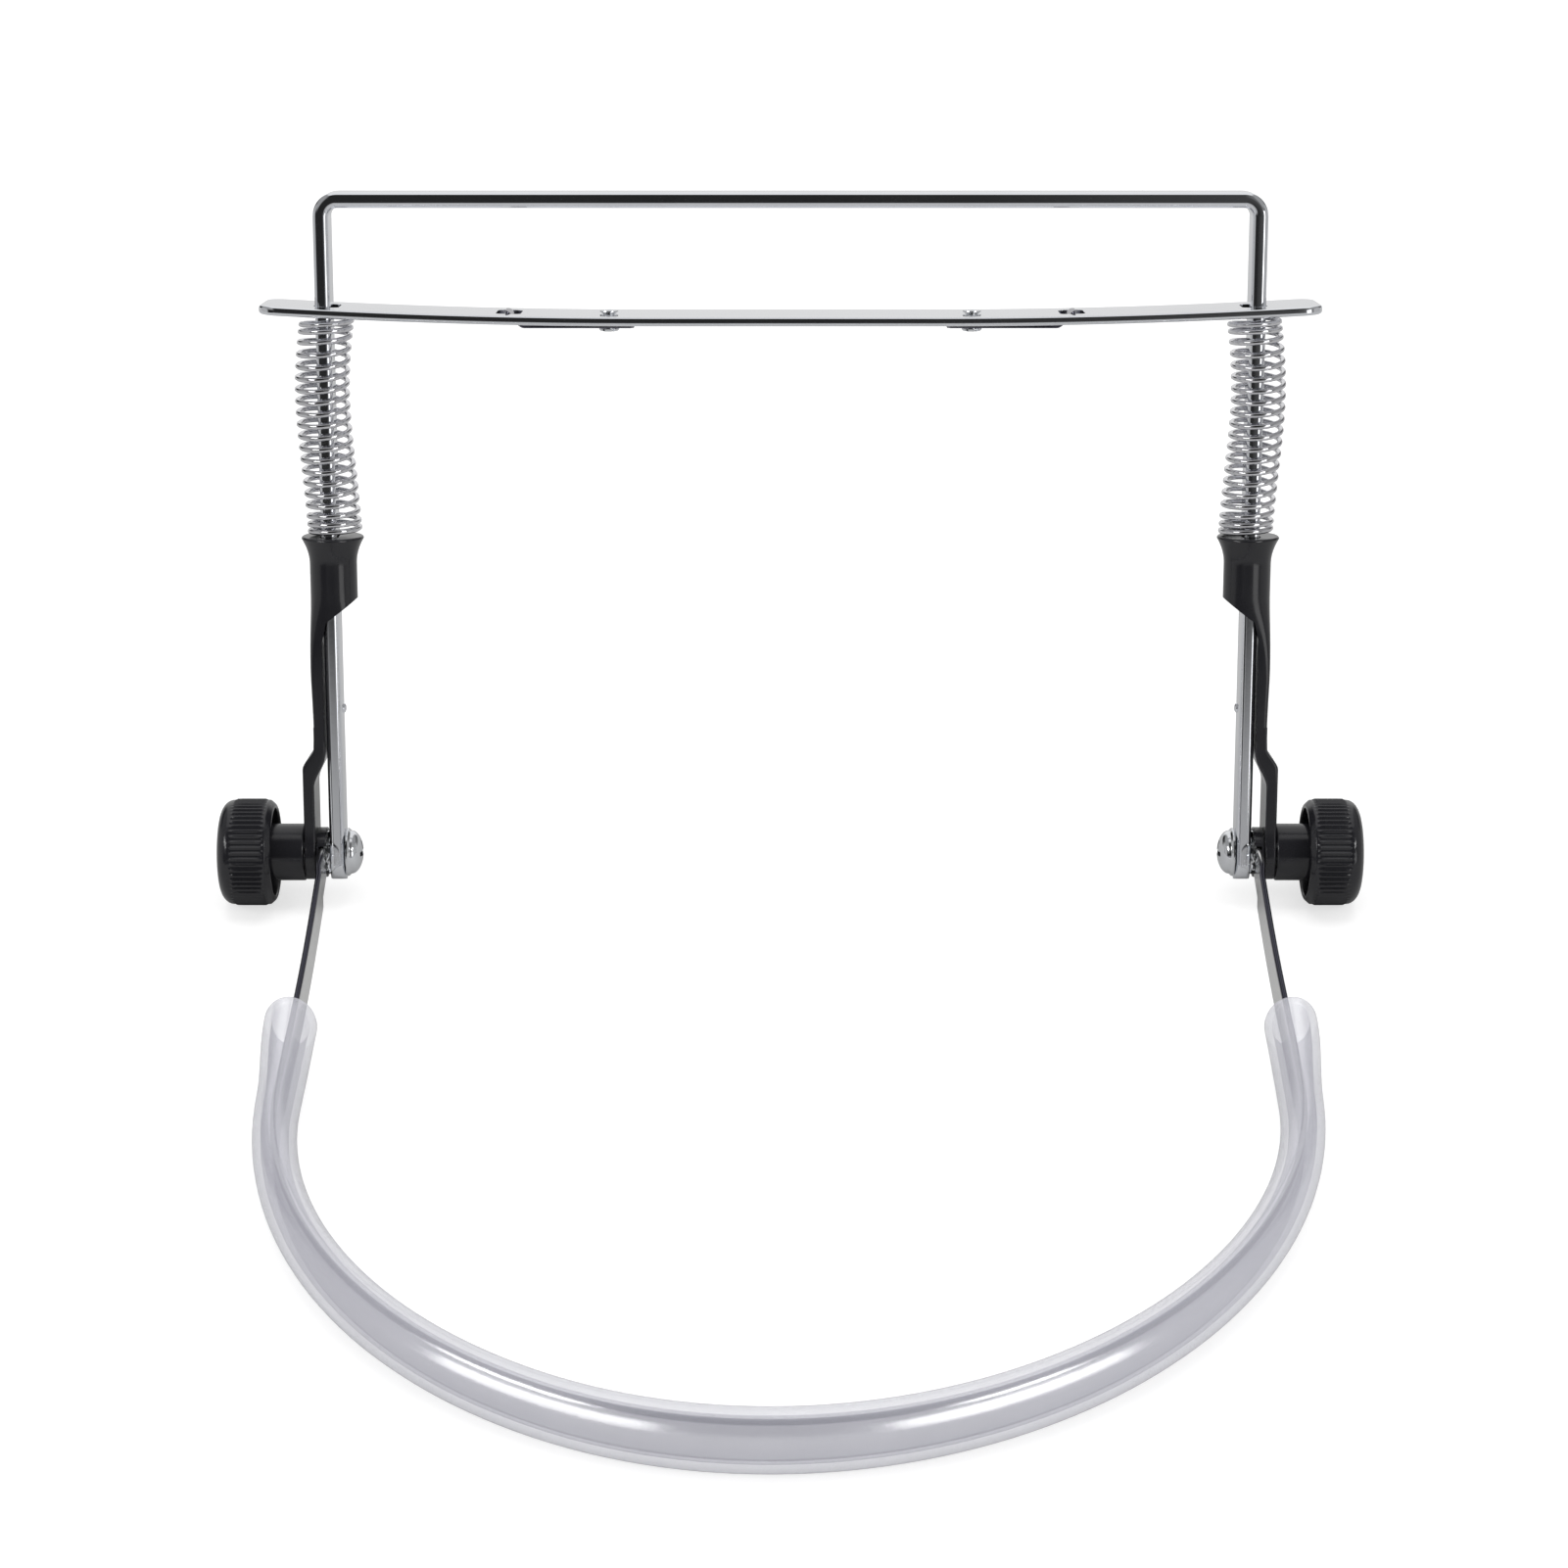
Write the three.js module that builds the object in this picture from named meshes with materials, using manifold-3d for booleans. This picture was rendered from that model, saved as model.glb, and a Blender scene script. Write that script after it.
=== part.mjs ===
// A neck-worn harmonica holder: a clamp frame with a sprung tray, on two arms
// that tilt on clamp knobs, carried by a neck loop in a soft sleeve.
// Millimetres, +Z up, +X to the right, and the neck loop reaches towards -Y.
import * as THREE from "three";
import { mergeVertices } from "three/addons/utils/BufferGeometryUtils.js";
import Module from "manifold-3d";

// Clearances and facets
const seat_gap = 0.2; // between faces that rest on each other
const slide_gap = 0.3; // between a sliding piece and its guide
const overrun = 1; // how far a cutter runs past what it cuts
const weld = 1e-4; // vertices nearer than this are one
const round_facets = 24;
const fine_facets = 48;

// Clamp bail: a flat bar bent into an upside-down U
const bar_thick = 3.3;
const bar_depth = 7.8;
const bar_edge = 1.2; // radius of the bar's long edges
const leg_centre = 97.6; // from the middle of the holder to the middle of a leg
const jaw_opening = 22; // from the tray up to the underside of the crossbar
const bail_tail = 5.4; // how far a leg reaches below its pivot
const bend_radius = 3.4; // at the middle of the bar
const bend_steps = 6;
const pip_radius = 1.1;
const pip_stand = 0.6;
const pip_height = 31.4; // the pip on a leg's inner face, above the pivot
const pip_back = 1.9; // behind the middle of the leg

// Tray: a bowed plate that slides on the legs
const tray_overhang = 13; // beyond the middle of a leg
const tray_depth = 19;
const tray_thick = 1.9;
const tray_corner = 4.2;
const spring_room = 45.1; // from an arm's collar up to the underside of the tray
const tray_flat = 60; // length of the flat middle
const tray_rise = 2.4; // how far the ends stand above the middle
const bow_steps = 10;
const slot_play = 1.6; // beyond the leg on its inner side
const window_inset = 0.7; // from a leaf's tip back to the middle of its window
const window_length = 5.2;
const window_depth = 9.2;

// Leaf springs under the tray, and their hollow rivets
const leaf_thick = 0.6;
const leaf_width = 7.4;
const leaf_tail = 5.3; // from the rivet to the leaf's inner end
const leaf_reach = 18.6; // from the rivet to where the leaf turns up
const leaf_ramp = 3; // length of the turned-up end
const leaf_stand = 0.6; // how far the tip stands above the tray
const rivet_centre = 38; // from the middle of the holder
const rivet_radius = 1.25;
const rivet_bore = 0.8;
const rivet_head = 2;
const rivet_head_thick = 0.4;
const rivet_tail = 2.1;
const rivet_tail_thick = 0.6;
const rivet_petals = 6;
const petal_slit = 0.5;

// Coil springs around the legs
const wire = 1.1;
const coil_play = 0.7; // between the legs' edges and the wire
const curls = 20;
const close_curls = 2; // at each end
const close_pitch = 1.6;
const steps_per_curl = 8;
const wire_sides = 5;
const bow_out = 0.6; // outwards at mid-length
const bow_in = 0.5; // inwards at the ends

// Moulded arms
const collar_top = 69.1; // above the pivots
const rim_flare = 1.6; // how far the rim stands out past the waist
const rim_edge = 0.5;
const waist_wall = 0.8; // beyond the leg's slot
const collar_shift = 0.35; // of the collar's axis, inwards from the middle of the leg
const flare_length = 5.4;
const waist_length = 12.6; // from the top down to where the waist turns square
const column_foot = 26; // above the pivots
const column_foot_out = 4.25; // from the middle of the leg to the outer face
const arm_cheek = 1.3; // how far the arm stands out past the leg, front and back
const column_points = 24;
const cut_drop = 13.3; // from the top down to the start of the slanting cut
const cut_knee_drop = 4.7; // from there down to its knee
const cut_knee_out = 0.9; // from the middle of the leg, outwards
const cut_foot_drop = 4.2; // from the knee down to its foot
const joggle_drop = 3.9; // from the column's foot down to the joggle
const joggle_out_length = 3.4; // on the outer face
const joggle_in_length = 6.5; // on the inner face
const arm_thick = 2.4;
const eye_swell = 0.7; // how far the eye's radius passes the arm's half depth

// Pivot hardware, stacked outwards from the leg
const pin_radius = 1.95;
const pin_clearance = 0.25;
const washer_thick = 0.35;
const washer_tip = 4.8;
const washer_root = 3.7;
const washer_teeth = 12;
const disc_radius = 5.4;
const disc_floor = 0.4;
const serrations = 24;
const serration_depth = 0.25;
const serration_width = 0.5;
const head_radius = 5.2;
const head_height = 3.4;
const head_wall = 0.7;
const recess_length = 5.2;
const recess_width = 1;
const recess_depth = 1.9;
const screw_short = 1.2; // how far the screw ends inside the insert's far end
const screw_chamfer = 0.5;

// Knobs and their threaded inserts
const hub_radius = 6.15;
const hub_edge = 0.4;
const hub_length = 7.2; // from the arm to the back of the knob
const knob_radius = 11.55; // over the ribs
const rib_depth = 0.45;
const ribs = 48;
const rib_length = 7.4;
const back_lip = 0.8; // from the back face to the ribs
const front_lip = 2.9; // from the ribs to the front face
const lip_step = 0.35; // how far the lips lie below the ribs
const face_flat = 7.6; // radius of the flat of the front face
const shell_wall = 1.5;
const back_hollow = 5; // depth of the hollow back
const insert_radius = 3.2;
const insert_length = 9.4;

// Neck loop: a flat strip in a soft sleeve
const neck_reach = 193.9; // from the pivots to the middle of the strip at the back
const neck_lean = 0.9; // how far the sides lean in, from the pivots to the bend
const neck_dip = 0.65; // how far the sides bow inwards before the bend
const side_steps = 8;
const strip_thick = 1.2;
const strip_width = 9;
const strip_eye = 3.1; // radius of the strip's end
const strip_taper = 12; // from the pivot to the full width
const sleeve_play = 0.55; // over and under the strip
const sleeve_width = 8.6;
const sleeve_wall = 1.6;
const sleeve_start = 66; // from the pivots
const sleeve_points = 16;
const neck_steps = 28;

// Pose
const arm_lean = 16.4; // degrees back from upright

// Places worked out from the sizes
const tray_height = collar_top + spring_room + tray_thick;
const bail_height = tray_height + jaw_opening + bar_thick;
const tray_half = leg_centre + tray_overhang;
const leaf_inner_end = rivet_centre - leaf_tail;
const leaf_bend = rivet_centre + leaf_reach;
const leaf_tip = leaf_bend + leaf_ramp;
const window_centre = leaf_tip - window_inset;
const coil_radius = bar_depth / 2 + coil_play + wire / 2; // to the middle of the wire
const waist_radius = bar_depth / 2 + slide_gap + waist_wall;
const rim_radius = waist_radius + rim_flare;
const arm_half_depth = bar_depth / 2 + arm_cheek;
const eye_radius = arm_half_depth + eye_swell;
const waist_foot = collar_top - waist_length;
const cut_top = collar_top - cut_drop;
const cut_knee = cut_top - cut_knee_drop;
const cut_foot = cut_knee - cut_foot_drop;
const joggle_top = column_foot - joggle_drop;
const joggle_out_foot = joggle_top - joggle_out_length;
const joggle_in_foot = joggle_top - joggle_in_length;
const leg_out = leg_centre + bar_thick / 2;
const leg_in = leg_centre - bar_thick / 2;
const washer_in = leg_out + seat_gap;
const disc_in = washer_in + washer_thick + seat_gap;
const strip_out = disc_in + strip_thick;
const disc_out = strip_out + seat_gap + disc_floor;
const neck_pivot = disc_in + strip_thick / 2;
const arm_in = disc_out + seat_gap;
const arm_out = arm_in + arm_thick;
const hub_face = arm_out + seat_gap;
const knob_back = hub_face + hub_length;
const screw_tip = hub_face + seat_gap + insert_length - screw_short;
const pin_hole = pin_radius + pin_clearance;
const neck_radius = neck_pivot - neck_lean;
const sleeve_height = strip_width + 2 * (sleeve_wall + sleeve_play);
const yoke_slope = Math.asin((knob_radius - sleeve_height / 2) / neck_reach);

const wasm = await Module();
wasm.setup();

// A closed geometry as a solid that can be joined and cut.
function solid(geometry) {
  const loose = geometry.index ? geometry.toNonIndexed() : geometry.clone();
  loose.deleteAttribute("normal");
  loose.deleteAttribute("uv");
  const merged = mergeVertices(loose, weld);
  return new wasm.Manifold(
    new wasm.Mesh({
      numProp: 3,
      vertProperties: merged.attributes.position.array,
      triVerts: new Uint32Array(merged.index.array),
    }),
  );
}

function geometryOf(made) {
  const mesh = made.getMesh();
  const geometry = new THREE.BufferGeometry();
  geometry.setAttribute("position", new THREE.BufferAttribute(mesh.vertProperties, 3));
  geometry.setIndex(new THREE.BufferAttribute(mesh.triVerts, 1));
  const shown = geometry.toNonIndexed();
  shown.computeVertexNormals();
  return shown;
}

const vec2 = (x, y) => new THREE.Vector2(x, y);
const vec3 = (x, y, z) => new THREE.Vector3(x, y, z);

// An outline of [x, y] pairs pushed out equally to both sides of its plane.
function prism(outline, length) {
  const shape = Array.isArray(outline) ? new THREE.Shape(outline.map(([x, y]) => vec2(x, y))) : outline;
  const geometry = new THREE.ExtrudeGeometry(shape, {
    depth: length,
    bevelEnabled: false,
    curveSegments: round_facets / 4,
  });
  return geometry.translate(0, 0, -length / 2);
}

// Outlines drawn as seen from the front, X and Z, and run along Y.
const frontPrism = (outline, length) => solid(prism(outline, length).rotateX(Math.PI / 2));

// Outlines drawn as seen from the side, Y and Z, and run along X.
const sidePrism = (outline, length, at = 0) =>
  solid(prism(outline, length).rotateX(Math.PI / 2).rotateZ(Math.PI / 2).translate(at, 0, 0));

// Outlines drawn as seen from above, X and Y, and run along Z.
const topPrism = (outline, length, at = 0) => solid(prism(outline, length).translate(0, 0, at));

// A profile of [radius, x] pairs turned about the X axis.
function turned(profile, facets = round_facets) {
  const points = profile.map(([radius, x]) => vec2(radius, x));
  return solid(new THREE.LatheGeometry(points, facets).rotateZ(-Math.PI / 2));
}

// A round bar along X from one place to another.
const pin = (radius, from, to, facets = round_facets) =>
  turned(
    [
      [0, from],
      [radius, from],
      [radius, to],
      [0, to],
    ],
    facets,
  );

// A round bar along Z from one height to another.
function post(radius, from, to, x, facets = round_facets) {
  const bar = new THREE.CylinderGeometry(radius, radius, to - from, facets);
  return solid(bar.rotateX(Math.PI / 2).translate(x, 0, (from + to) / 2));
}

// A skin through rings of equal numbers of points, closed flat at both ends.
function loft(rings) {
  const sides = rings[0].length;
  const points = rings.flat().flatMap((point) => point.toArray());
  const faces = [];
  for (let ring = 0; ring + 1 < rings.length; ring++) {
    for (let side = 0; side < sides; side++) {
      const a = ring * sides + side;
      const b = ring * sides + ((side + 1) % sides);
      faces.push(a, b, b + sides, a, b + sides, a + sides);
    }
  }
  const last = (rings.length - 1) * sides;
  for (let side = 1; side + 1 < sides; side++) {
    faces.push(0, side + 1, side, last, last + side, last + side + 1);
  }
  const geometry = new THREE.BufferGeometry();
  geometry.setAttribute("position", new THREE.Float32BufferAttribute(points, 3));
  geometry.setIndex(faces);
  return geometry;
}

// A rectangle with round corners, as points round its middle.
function roundedBox(width, height, radius, facets = round_facets) {
  const points = [];
  const corner = facets / 4;
  for (let quarter = 0; quarter < 4; quarter++) {
    const sx = quarter === 0 || quarter === 3 ? 1 : -1;
    const sy = quarter < 2 ? 1 : -1;
    for (let step = 0; step <= corner; step++) {
      const angle = ((quarter + step / corner) * Math.PI) / 2;
      points.push([
        sx * (width / 2 - radius) + radius * Math.cos(angle),
        sy * (height / 2 - radius) + radius * Math.sin(angle),
      ]);
    }
  }
  return points;
}

function circle(radius, facets = round_facets) {
  const points = [];
  for (let step = 0; step < facets; step++) {
    const angle = (step / facets) * 2 * Math.PI;
    points.push([radius * Math.cos(angle), radius * Math.sin(angle)]);
  }
  return points;
}

// Sections of a bar along a path in the X-Z plane, its depth along Y.
function barRings(section, path) {
  return path.map(({ x, z, angle }) => {
    const across = vec3(Math.cos(angle), 0, Math.sin(angle));
    return section.map(([a, b]) => across.clone().multiplyScalar(a).add(vec3(x, b, z)));
  });
}

// The bail's middle line, from the left leg's foot over to the right leg's.
function bailPath() {
  const top = bail_height - bar_thick / 2;
  const path = [{ x: -leg_centre, z: -bail_tail, angle: 0 }];
  for (let step = 0; step <= bend_steps; step++) {
    const angle = ((step / bend_steps) * Math.PI) / 2;
    path.push({
      x: -leg_centre + bend_radius * (1 - Math.cos(angle)),
      z: top - bend_radius * (1 - Math.sin(angle)),
      angle: -angle,
    });
  }
  const right = path.map(({ x, z, angle }) => ({ x: -x, z, angle: -Math.PI - angle }));
  return path.concat(right.reverse());
}

// The side view of the bail: its legs end in half rounds.
function bailSide() {
  const half = bar_depth / 2;
  const side = new THREE.Shape();
  side.moveTo(half, bail_height + overrun);
  side.lineTo(-half, bail_height + overrun);
  side.lineTo(-half, half - bail_tail);
  side.absarc(0, half - bail_tail, half, Math.PI, 2 * Math.PI, false);
  side.closePath();
  return side;
}

function clampBail() {
  const section = roundedBox(bar_thick, bar_depth, bar_edge, 16);
  const bar = solid(loft(barRings(section, bailPath())));
  const ended = bar.intersect(sidePrism(bailSide(), 2 * (leg_out + overrun)));
  const drilled = ended.subtract(pin(pin_hole, -leg_out - overrun, leg_out + overrun));
  return [-1, 1].reduce((made, side) => made.add(legPip(side)), drilled);
}

// A small round pip pressed out of a leg's inner face.
function legPip(side) {
  const face = leg_in + pip_stand;
  const ball = new THREE.SphereGeometry(pip_radius, round_facets / 2, round_facets / 4);
  ball.rotateZ(Math.PI / 2).scale((2 * pip_stand) / pip_radius, 1, 1);
  return solid(ball.translate(side * face, pip_back, pip_height));
}

// How far the tray stands above its flat middle at a distance from the middle.
function trayRise(x) {
  const run = Math.max(Math.abs(x) - tray_flat / 2, 0);
  return tray_rise * (run / (tray_half - tray_flat / 2)) ** 2;
}

// The front view of the tray: flat in the middle and bowed up to both ends.
function trayFront() {
  const places = [];
  for (let step = bow_steps; step > 0; step--) {
    places.push(-(tray_flat / 2 + ((tray_half - tray_flat / 2) * step) / bow_steps));
  }
  places.push(-tray_flat / 2, tray_flat / 2);
  for (let step = 1; step <= bow_steps; step++) {
    places.push(tray_flat / 2 + ((tray_half - tray_flat / 2) * step) / bow_steps);
  }
  const top = places.map((x) => [x, tray_height + trayRise(x)]);
  const under = places.map((x) => [x, tray_height - tray_thick + trayRise(x)]);
  return under.concat(top.reverse());
}

const trayCutter = (outline) => topPrism(outline, 2 * (tray_thick + tray_rise + overrun), tray_height);

function trayPlate() {
  const bowed = frontPrism(trayFront(), tray_depth + 2 * overrun);
  let plate = bowed.intersect(trayCutter(roundedBox(2 * tray_half, tray_depth, tray_corner)));
  for (const side of [-1, 1]) {
    plate = plate
      .subtract(trayCutter(legSlot(side)))
      .subtract(trayCutter(trayWindow(side)))
      .subtract(post(rivet_radius + slide_gap, tray_height - 2 * tray_thick, bail_height, side * rivet_centre));
  }
  return plate;
}

// A leg's slot is wider on the inner side, so that the plate can tip a little.
function legSlot(side) {
  const width = bar_thick + slide_gap + slot_play;
  const middle = leg_out + slide_gap - width / 2;
  const box = roundedBox(width, bar_depth + 2 * slide_gap, bar_edge + slide_gap);
  return box.map(([x, y]) => [side * middle + x, y]);
}

function trayWindow(side) {
  const box = roundedBox(window_length, window_depth, window_length / 4, 16);
  return box.map(([x, y]) => [side * window_centre + x, y]);
}

const leafTop = tray_height - tray_thick - slide_gap;

// A strip of even thickness along a line of [x, z] pairs, as an outline.
function stripOutline(line, thick) {
  const offset = (side) =>
    line.map(([x, z], at) => {
      const before = line[Math.max(at - 1, 0)];
      const after = line[Math.min(at + 1, line.length - 1)];
      const along = vec2(after[0] - before[0], after[1] - before[1]).normalize();
      return [x - (side * along.y * thick) / 2, z + (side * along.x * thick) / 2];
    });
  return offset(-1).concat(offset(1).reverse());
}

// The leaf lies along the tray and turns up through the window at its tip.
function leafLine() {
  const level = leafTop - leaf_thick / 2;
  const tip = tray_height + leaf_stand;
  const line = [
    [leaf_inner_end, level],
    [leaf_bend - (leaf_tip - leaf_bend) / 2, level],
  ];
  const curve = new THREE.CubicBezierCurve(
    vec2(leaf_bend, level),
    vec2((leaf_bend + leaf_tip) / 2, level),
    vec2((leaf_bend + leaf_tip) / 2, tip),
    vec2(leaf_tip, tip),
  );
  return line.concat(curve.getPoints(8).map((point) => [point.x, point.y]));
}

function leafSpring() {
  const strip = frontPrism(stripOutline(leafLine(), leaf_thick), leaf_width);
  const length = leaf_tip + overrun - leaf_inner_end;
  const plan = roundedBox(length, leaf_width, leaf_width / 4).map(([x, y]) => [x + leaf_inner_end + length / 2, y]);
  const hole = post(rivet_radius + slide_gap, leafTop - 2 * leaf_thick, tray_height, rivet_centre);
  return strip.intersect(trayCutter(plan)).subtract(hole);
}

// A hollow rivet: a rolled head above the tray, a split tail below the leaf.
function leafRivet() {
  const head_under = tray_height + slide_gap;
  const tail_top = leafTop - leaf_thick - slide_gap;
  const profile = [
    [rivet_bore, tail_top - rivet_tail_thick],
    [rivet_tail - rivet_tail_thick / 2, tail_top - rivet_tail_thick],
    [rivet_tail, tail_top - rivet_tail_thick / 2],
    [rivet_tail, tail_top],
    [rivet_radius, tail_top],
    [rivet_radius, head_under],
    [rivet_head, head_under],
    [rivet_head, head_under + rivet_head_thick / 2],
    [(rivet_head + rivet_radius) / 2, head_under + rivet_head_thick],
    [rivet_bore, head_under + rivet_head_thick / 2],
  ];
  const points = profile.concat([profile[0]]).map(([radius, z]) => vec2(radius, z));
  const lathe = new THREE.LatheGeometry(points, round_facets).rotateX(Math.PI / 2);
  let rivet = solid(lathe);
  const slit_height = rivet_tail_thick + seat_gap;
  for (let petal = 0; petal < rivet_petals; petal++) {
    const slit = new THREE.BoxGeometry(rivet_tail, petal_slit, slit_height);
    slit.translate(rivet_radius + rivet_tail / 2, 0, tail_top - slit_height / 2 + seat_gap / 2);
    slit.rotateZ((petal / rivet_petals) * 2 * Math.PI);
    rivet = rivet.subtract(solid(slit));
  }
  return rivet.translate([rivet_centre, 0, 0]);
}

// The height of the wire's middle after a number of curls.
function coilHeight(turn, low, high) {
  const open_pitch = (high - low - 2 * close_curls * close_pitch) / (curls - 2 * close_curls);
  const low_turns = Math.min(turn, close_curls);
  const high_turns = Math.max(turn - (curls - close_curls), 0);
  const open_turns = turn - low_turns - high_turns;
  return low + (low_turns + high_turns) * close_pitch + open_turns * open_pitch;
}

// The middle of the wire, bowed outwards between the collar and the tray.
function coilPoint(turn, side) {
  const low = collar_top + slide_gap + wire / 2;
  const high = tray_height - tray_thick + trayRise(leg_centre - coil_radius) - slide_gap - wire / 2;
  const z = coilHeight(turn, low, high);
  const bow = (bow_out + bow_in) * Math.sin(((z - low) / (high - low)) * Math.PI) - bow_in;
  const angle = (turn + 1 / 4) * 2 * Math.PI;
  return vec3(
    side * (leg_centre + bow) + coil_radius * Math.cos(angle),
    coil_radius * Math.sin(angle),
    z,
  );
}

// The wire's line: curls by formula, and straight ends one wire long.
function coilLine(side) {
  const line = [];
  for (let step = 0; step <= curls * steps_per_curl; step++) {
    line.push(coilPoint(step / steps_per_curl, side));
  }
  const out = (end, next) => {
    const level = end.clone().sub(next).setZ(0).normalize();
    return end.clone().addScaledVector(level, wire);
  };
  const first = out(line[0], line[1]);
  const last = out(line[line.length - 1], line[line.length - 2]);
  return [first, ...line, last];
}

function coilSpring(name, side) {
  const line = coilLine(side);
  const axis = vec3(0, 0, 1);
  const rings = line.map((point, at) => {
    const before = line[Math.max(at - 1, 0)];
    const after = line[Math.min(at + 1, line.length - 1)];
    const along = after.clone().sub(before).normalize();
    const across = along.clone().cross(axis).normalize();
    const up = across.clone().cross(along);
    return circle(wire / 2, wire_sides).map(([a, b]) =>
      point.clone().addScaledVector(across, -a).addScaledVector(up, b),
    );
  });
  console.log(name + ": least gap of the wire to itself " + leastGap(line).toFixed(2) + " mm");
  return solid(loft(rings));
}

// The least gap between stretches of wire that are over half a curl apart.
function leastGap(line) {
  let least = Infinity;
  for (let a = 0; a < line.length; a++) {
    for (let b = a + steps_per_curl / 2 + 1; b < line.length; b++) {
      least = Math.min(least, line[a].distanceTo(line[b]));
    }
  }
  return least - wire;
}

// One level of the arm's column: round at the waist, square-cornered at the foot.
function columnRing(z, out, depth, power, shift = 0) {
  const ring = [];
  for (let step = 0; step < column_points; step++) {
    const angle = (step / column_points) * 2 * Math.PI;
    const share = (value) => Math.sign(value) * Math.abs(value) ** (2 / power);
    ring.push(vec3(leg_centre - shift + out * share(Math.cos(angle)), depth * share(Math.sin(angle)), z));
  }
  return ring;
}

function armColumn() {
  const round_power = 2;
  const square_power = 5;
  const knee_z = (waist_foot + column_foot) / 2;
  const knee_out = (waist_radius + column_foot_out) / 2;
  const rings = [
    columnRing(column_foot, column_foot_out, arm_half_depth, square_power),
    columnRing(knee_z, knee_out, arm_half_depth, square_power),
    columnRing(waist_foot, waist_radius, waist_radius, round_power, collar_shift),
  ];
  const flare_steps = 6;
  for (let step = 0; step <= flare_steps; step++) {
    const share = step / flare_steps;
    const radius = waist_radius + (rim_radius - waist_radius) * share ** 2;
    const z = collar_top - rim_edge - flare_length * (1 - share);
    rings.push(columnRing(z, radius, radius, round_power, collar_shift));
  }
  const top_radius = rim_radius - rim_edge;
  rings.push(columnRing(collar_top, top_radius, top_radius, round_power, collar_shift));
  return solid(loft(rings));
}

// The flat lower bar, seen from the front: it steps out to clear the strip.
function armBarFront() {
  const upper_in = leg_out + seat_gap;
  const upper_out = leg_centre + column_foot_out;
  return [
    [arm_in, -eye_radius - overrun],
    [arm_out, -eye_radius - overrun],
    [arm_out, joggle_out_foot],
    [upper_out, joggle_top],
    [upper_out, column_foot + arm_thick],
    [upper_in, column_foot + arm_thick],
    [upper_in, joggle_top],
    [arm_in, joggle_in_foot],
  ];
}

// The same bar from the side: straight, with a round eye at the pivot.
function armBarSide() {
  const side = new THREE.Shape();
  const shoulder = Math.sqrt(eye_radius ** 2 - arm_half_depth ** 2);
  const angle = Math.atan2(shoulder, arm_half_depth);
  side.moveTo(arm_half_depth, column_foot + 2 * arm_thick);
  side.lineTo(-arm_half_depth, column_foot + 2 * arm_thick);
  side.lineTo(-arm_half_depth, shoulder);
  side.absarc(0, 0, eye_radius, Math.PI - angle, 2 * Math.PI + angle, false);
  side.closePath();
  return side;
}

// What is cut from the column's inner side, below the slanting edge.
function innerCut() {
  const inside = leg_centre - collar_shift - rim_radius - overrun;
  return [
    [inside, cut_top],
    [leg_centre - collar_shift - waist_radius, cut_top],
    [leg_centre + cut_knee_out, cut_knee],
    [leg_out + seat_gap, cut_foot],
    [leg_out + seat_gap, column_foot - overrun],
    [inside, column_foot - overrun],
  ];
}

function armMoulding() {
  const column = armColumn().subtract(frontPrism(innerCut(), 2 * (rim_radius + overrun)));
  const bar = frontPrism(armBarFront(), 2 * (eye_radius + overrun)).intersect(
    sidePrism(armBarSide(), 2 * (arm_out + overrun)),
  );
  const slot = roundedBox(bar_thick + 2 * slide_gap, bar_depth + 2 * slide_gap, bar_edge + slide_gap);
  const height = collar_top - cut_foot + 2 * overrun;
  const bore = topPrism(
    slot.map(([x, y]) => [leg_centre + x, y]),
    height,
    cut_foot - overrun + height / 2,
  );
  return column.subtract(bore).add(bar).subtract(pin(pin_hole, arm_in - overrun, arm_out + overrun));
}

// A screw with a domed head and a cross recess, from inside the leg outwards.
function pivotScrew() {
  const base = leg_in - seat_gap;
  const apex = base - head_height;
  const dome = [];
  const dome_steps = 7;
  for (let step = 0; step <= dome_steps; step++) {
    const angle = ((step / dome_steps) * Math.PI) / 2;
    const x = base - head_wall - (head_height - head_wall) * Math.cos(angle);
    dome.push([head_radius * Math.sin(angle), x]);
  }
  const body = turned([
    ...dome,
    [head_radius, base],
    [pin_radius, base],
    [pin_radius, screw_tip - screw_chamfer],
    [pin_radius - screw_chamfer, screw_tip],
    [0, screw_tip],
  ]);
  const slot = roundedBox(recess_length, recess_width, recess_width / 4, 8);
  const cutter = sidePrism(slot, 2 * recess_depth, apex);
  const crossed = sidePrism(
    slot.map(([a, b]) => [b, a]).reverse(),
    2 * recess_depth,
    apex,
  );
  return body.subtract(cutter).subtract(crossed);
}

function starWasher() {
  const outline = [];
  for (let tooth = 0; tooth < washer_teeth; tooth++) {
    for (const [radius, share] of [
      [washer_root, 0],
      [washer_tip, 1 / 4],
      [washer_tip, 1 / 2],
      [washer_root, 3 / 4],
    ]) {
      const angle = ((tooth + share) / washer_teeth) * 2 * Math.PI;
      outline.push([radius * Math.cos(angle), radius * Math.sin(angle)]);
    }
  }
  const middle = washer_in + washer_thick / 2;
  return sidePrism(outline, washer_thick, middle).subtract(pin(pin_hole, leg_in, arm_out));
}

// The side view of the strip's end: an eye, then a taper to the full width.
function stripSide(clearance, reach) {
  const eye = strip_eye + clearance;
  const half = strip_width / 2 + clearance;
  const lean = Math.asin((strip_width / 2 - strip_eye) / strip_taper);
  const side = new THREE.Shape();
  side.moveTo(-reach, half);
  side.lineTo(-reach, -half);
  side.lineTo(-strip_taper, -half);
  side.lineTo(-eye * Math.sin(lean), -eye * Math.cos(lean));
  side.absarc(0, 0, eye, -Math.PI / 2 - lean, Math.PI / 2 + lean, false);
  side.lineTo(-strip_taper, half);
  side.closePath();
  return side;
}

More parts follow.
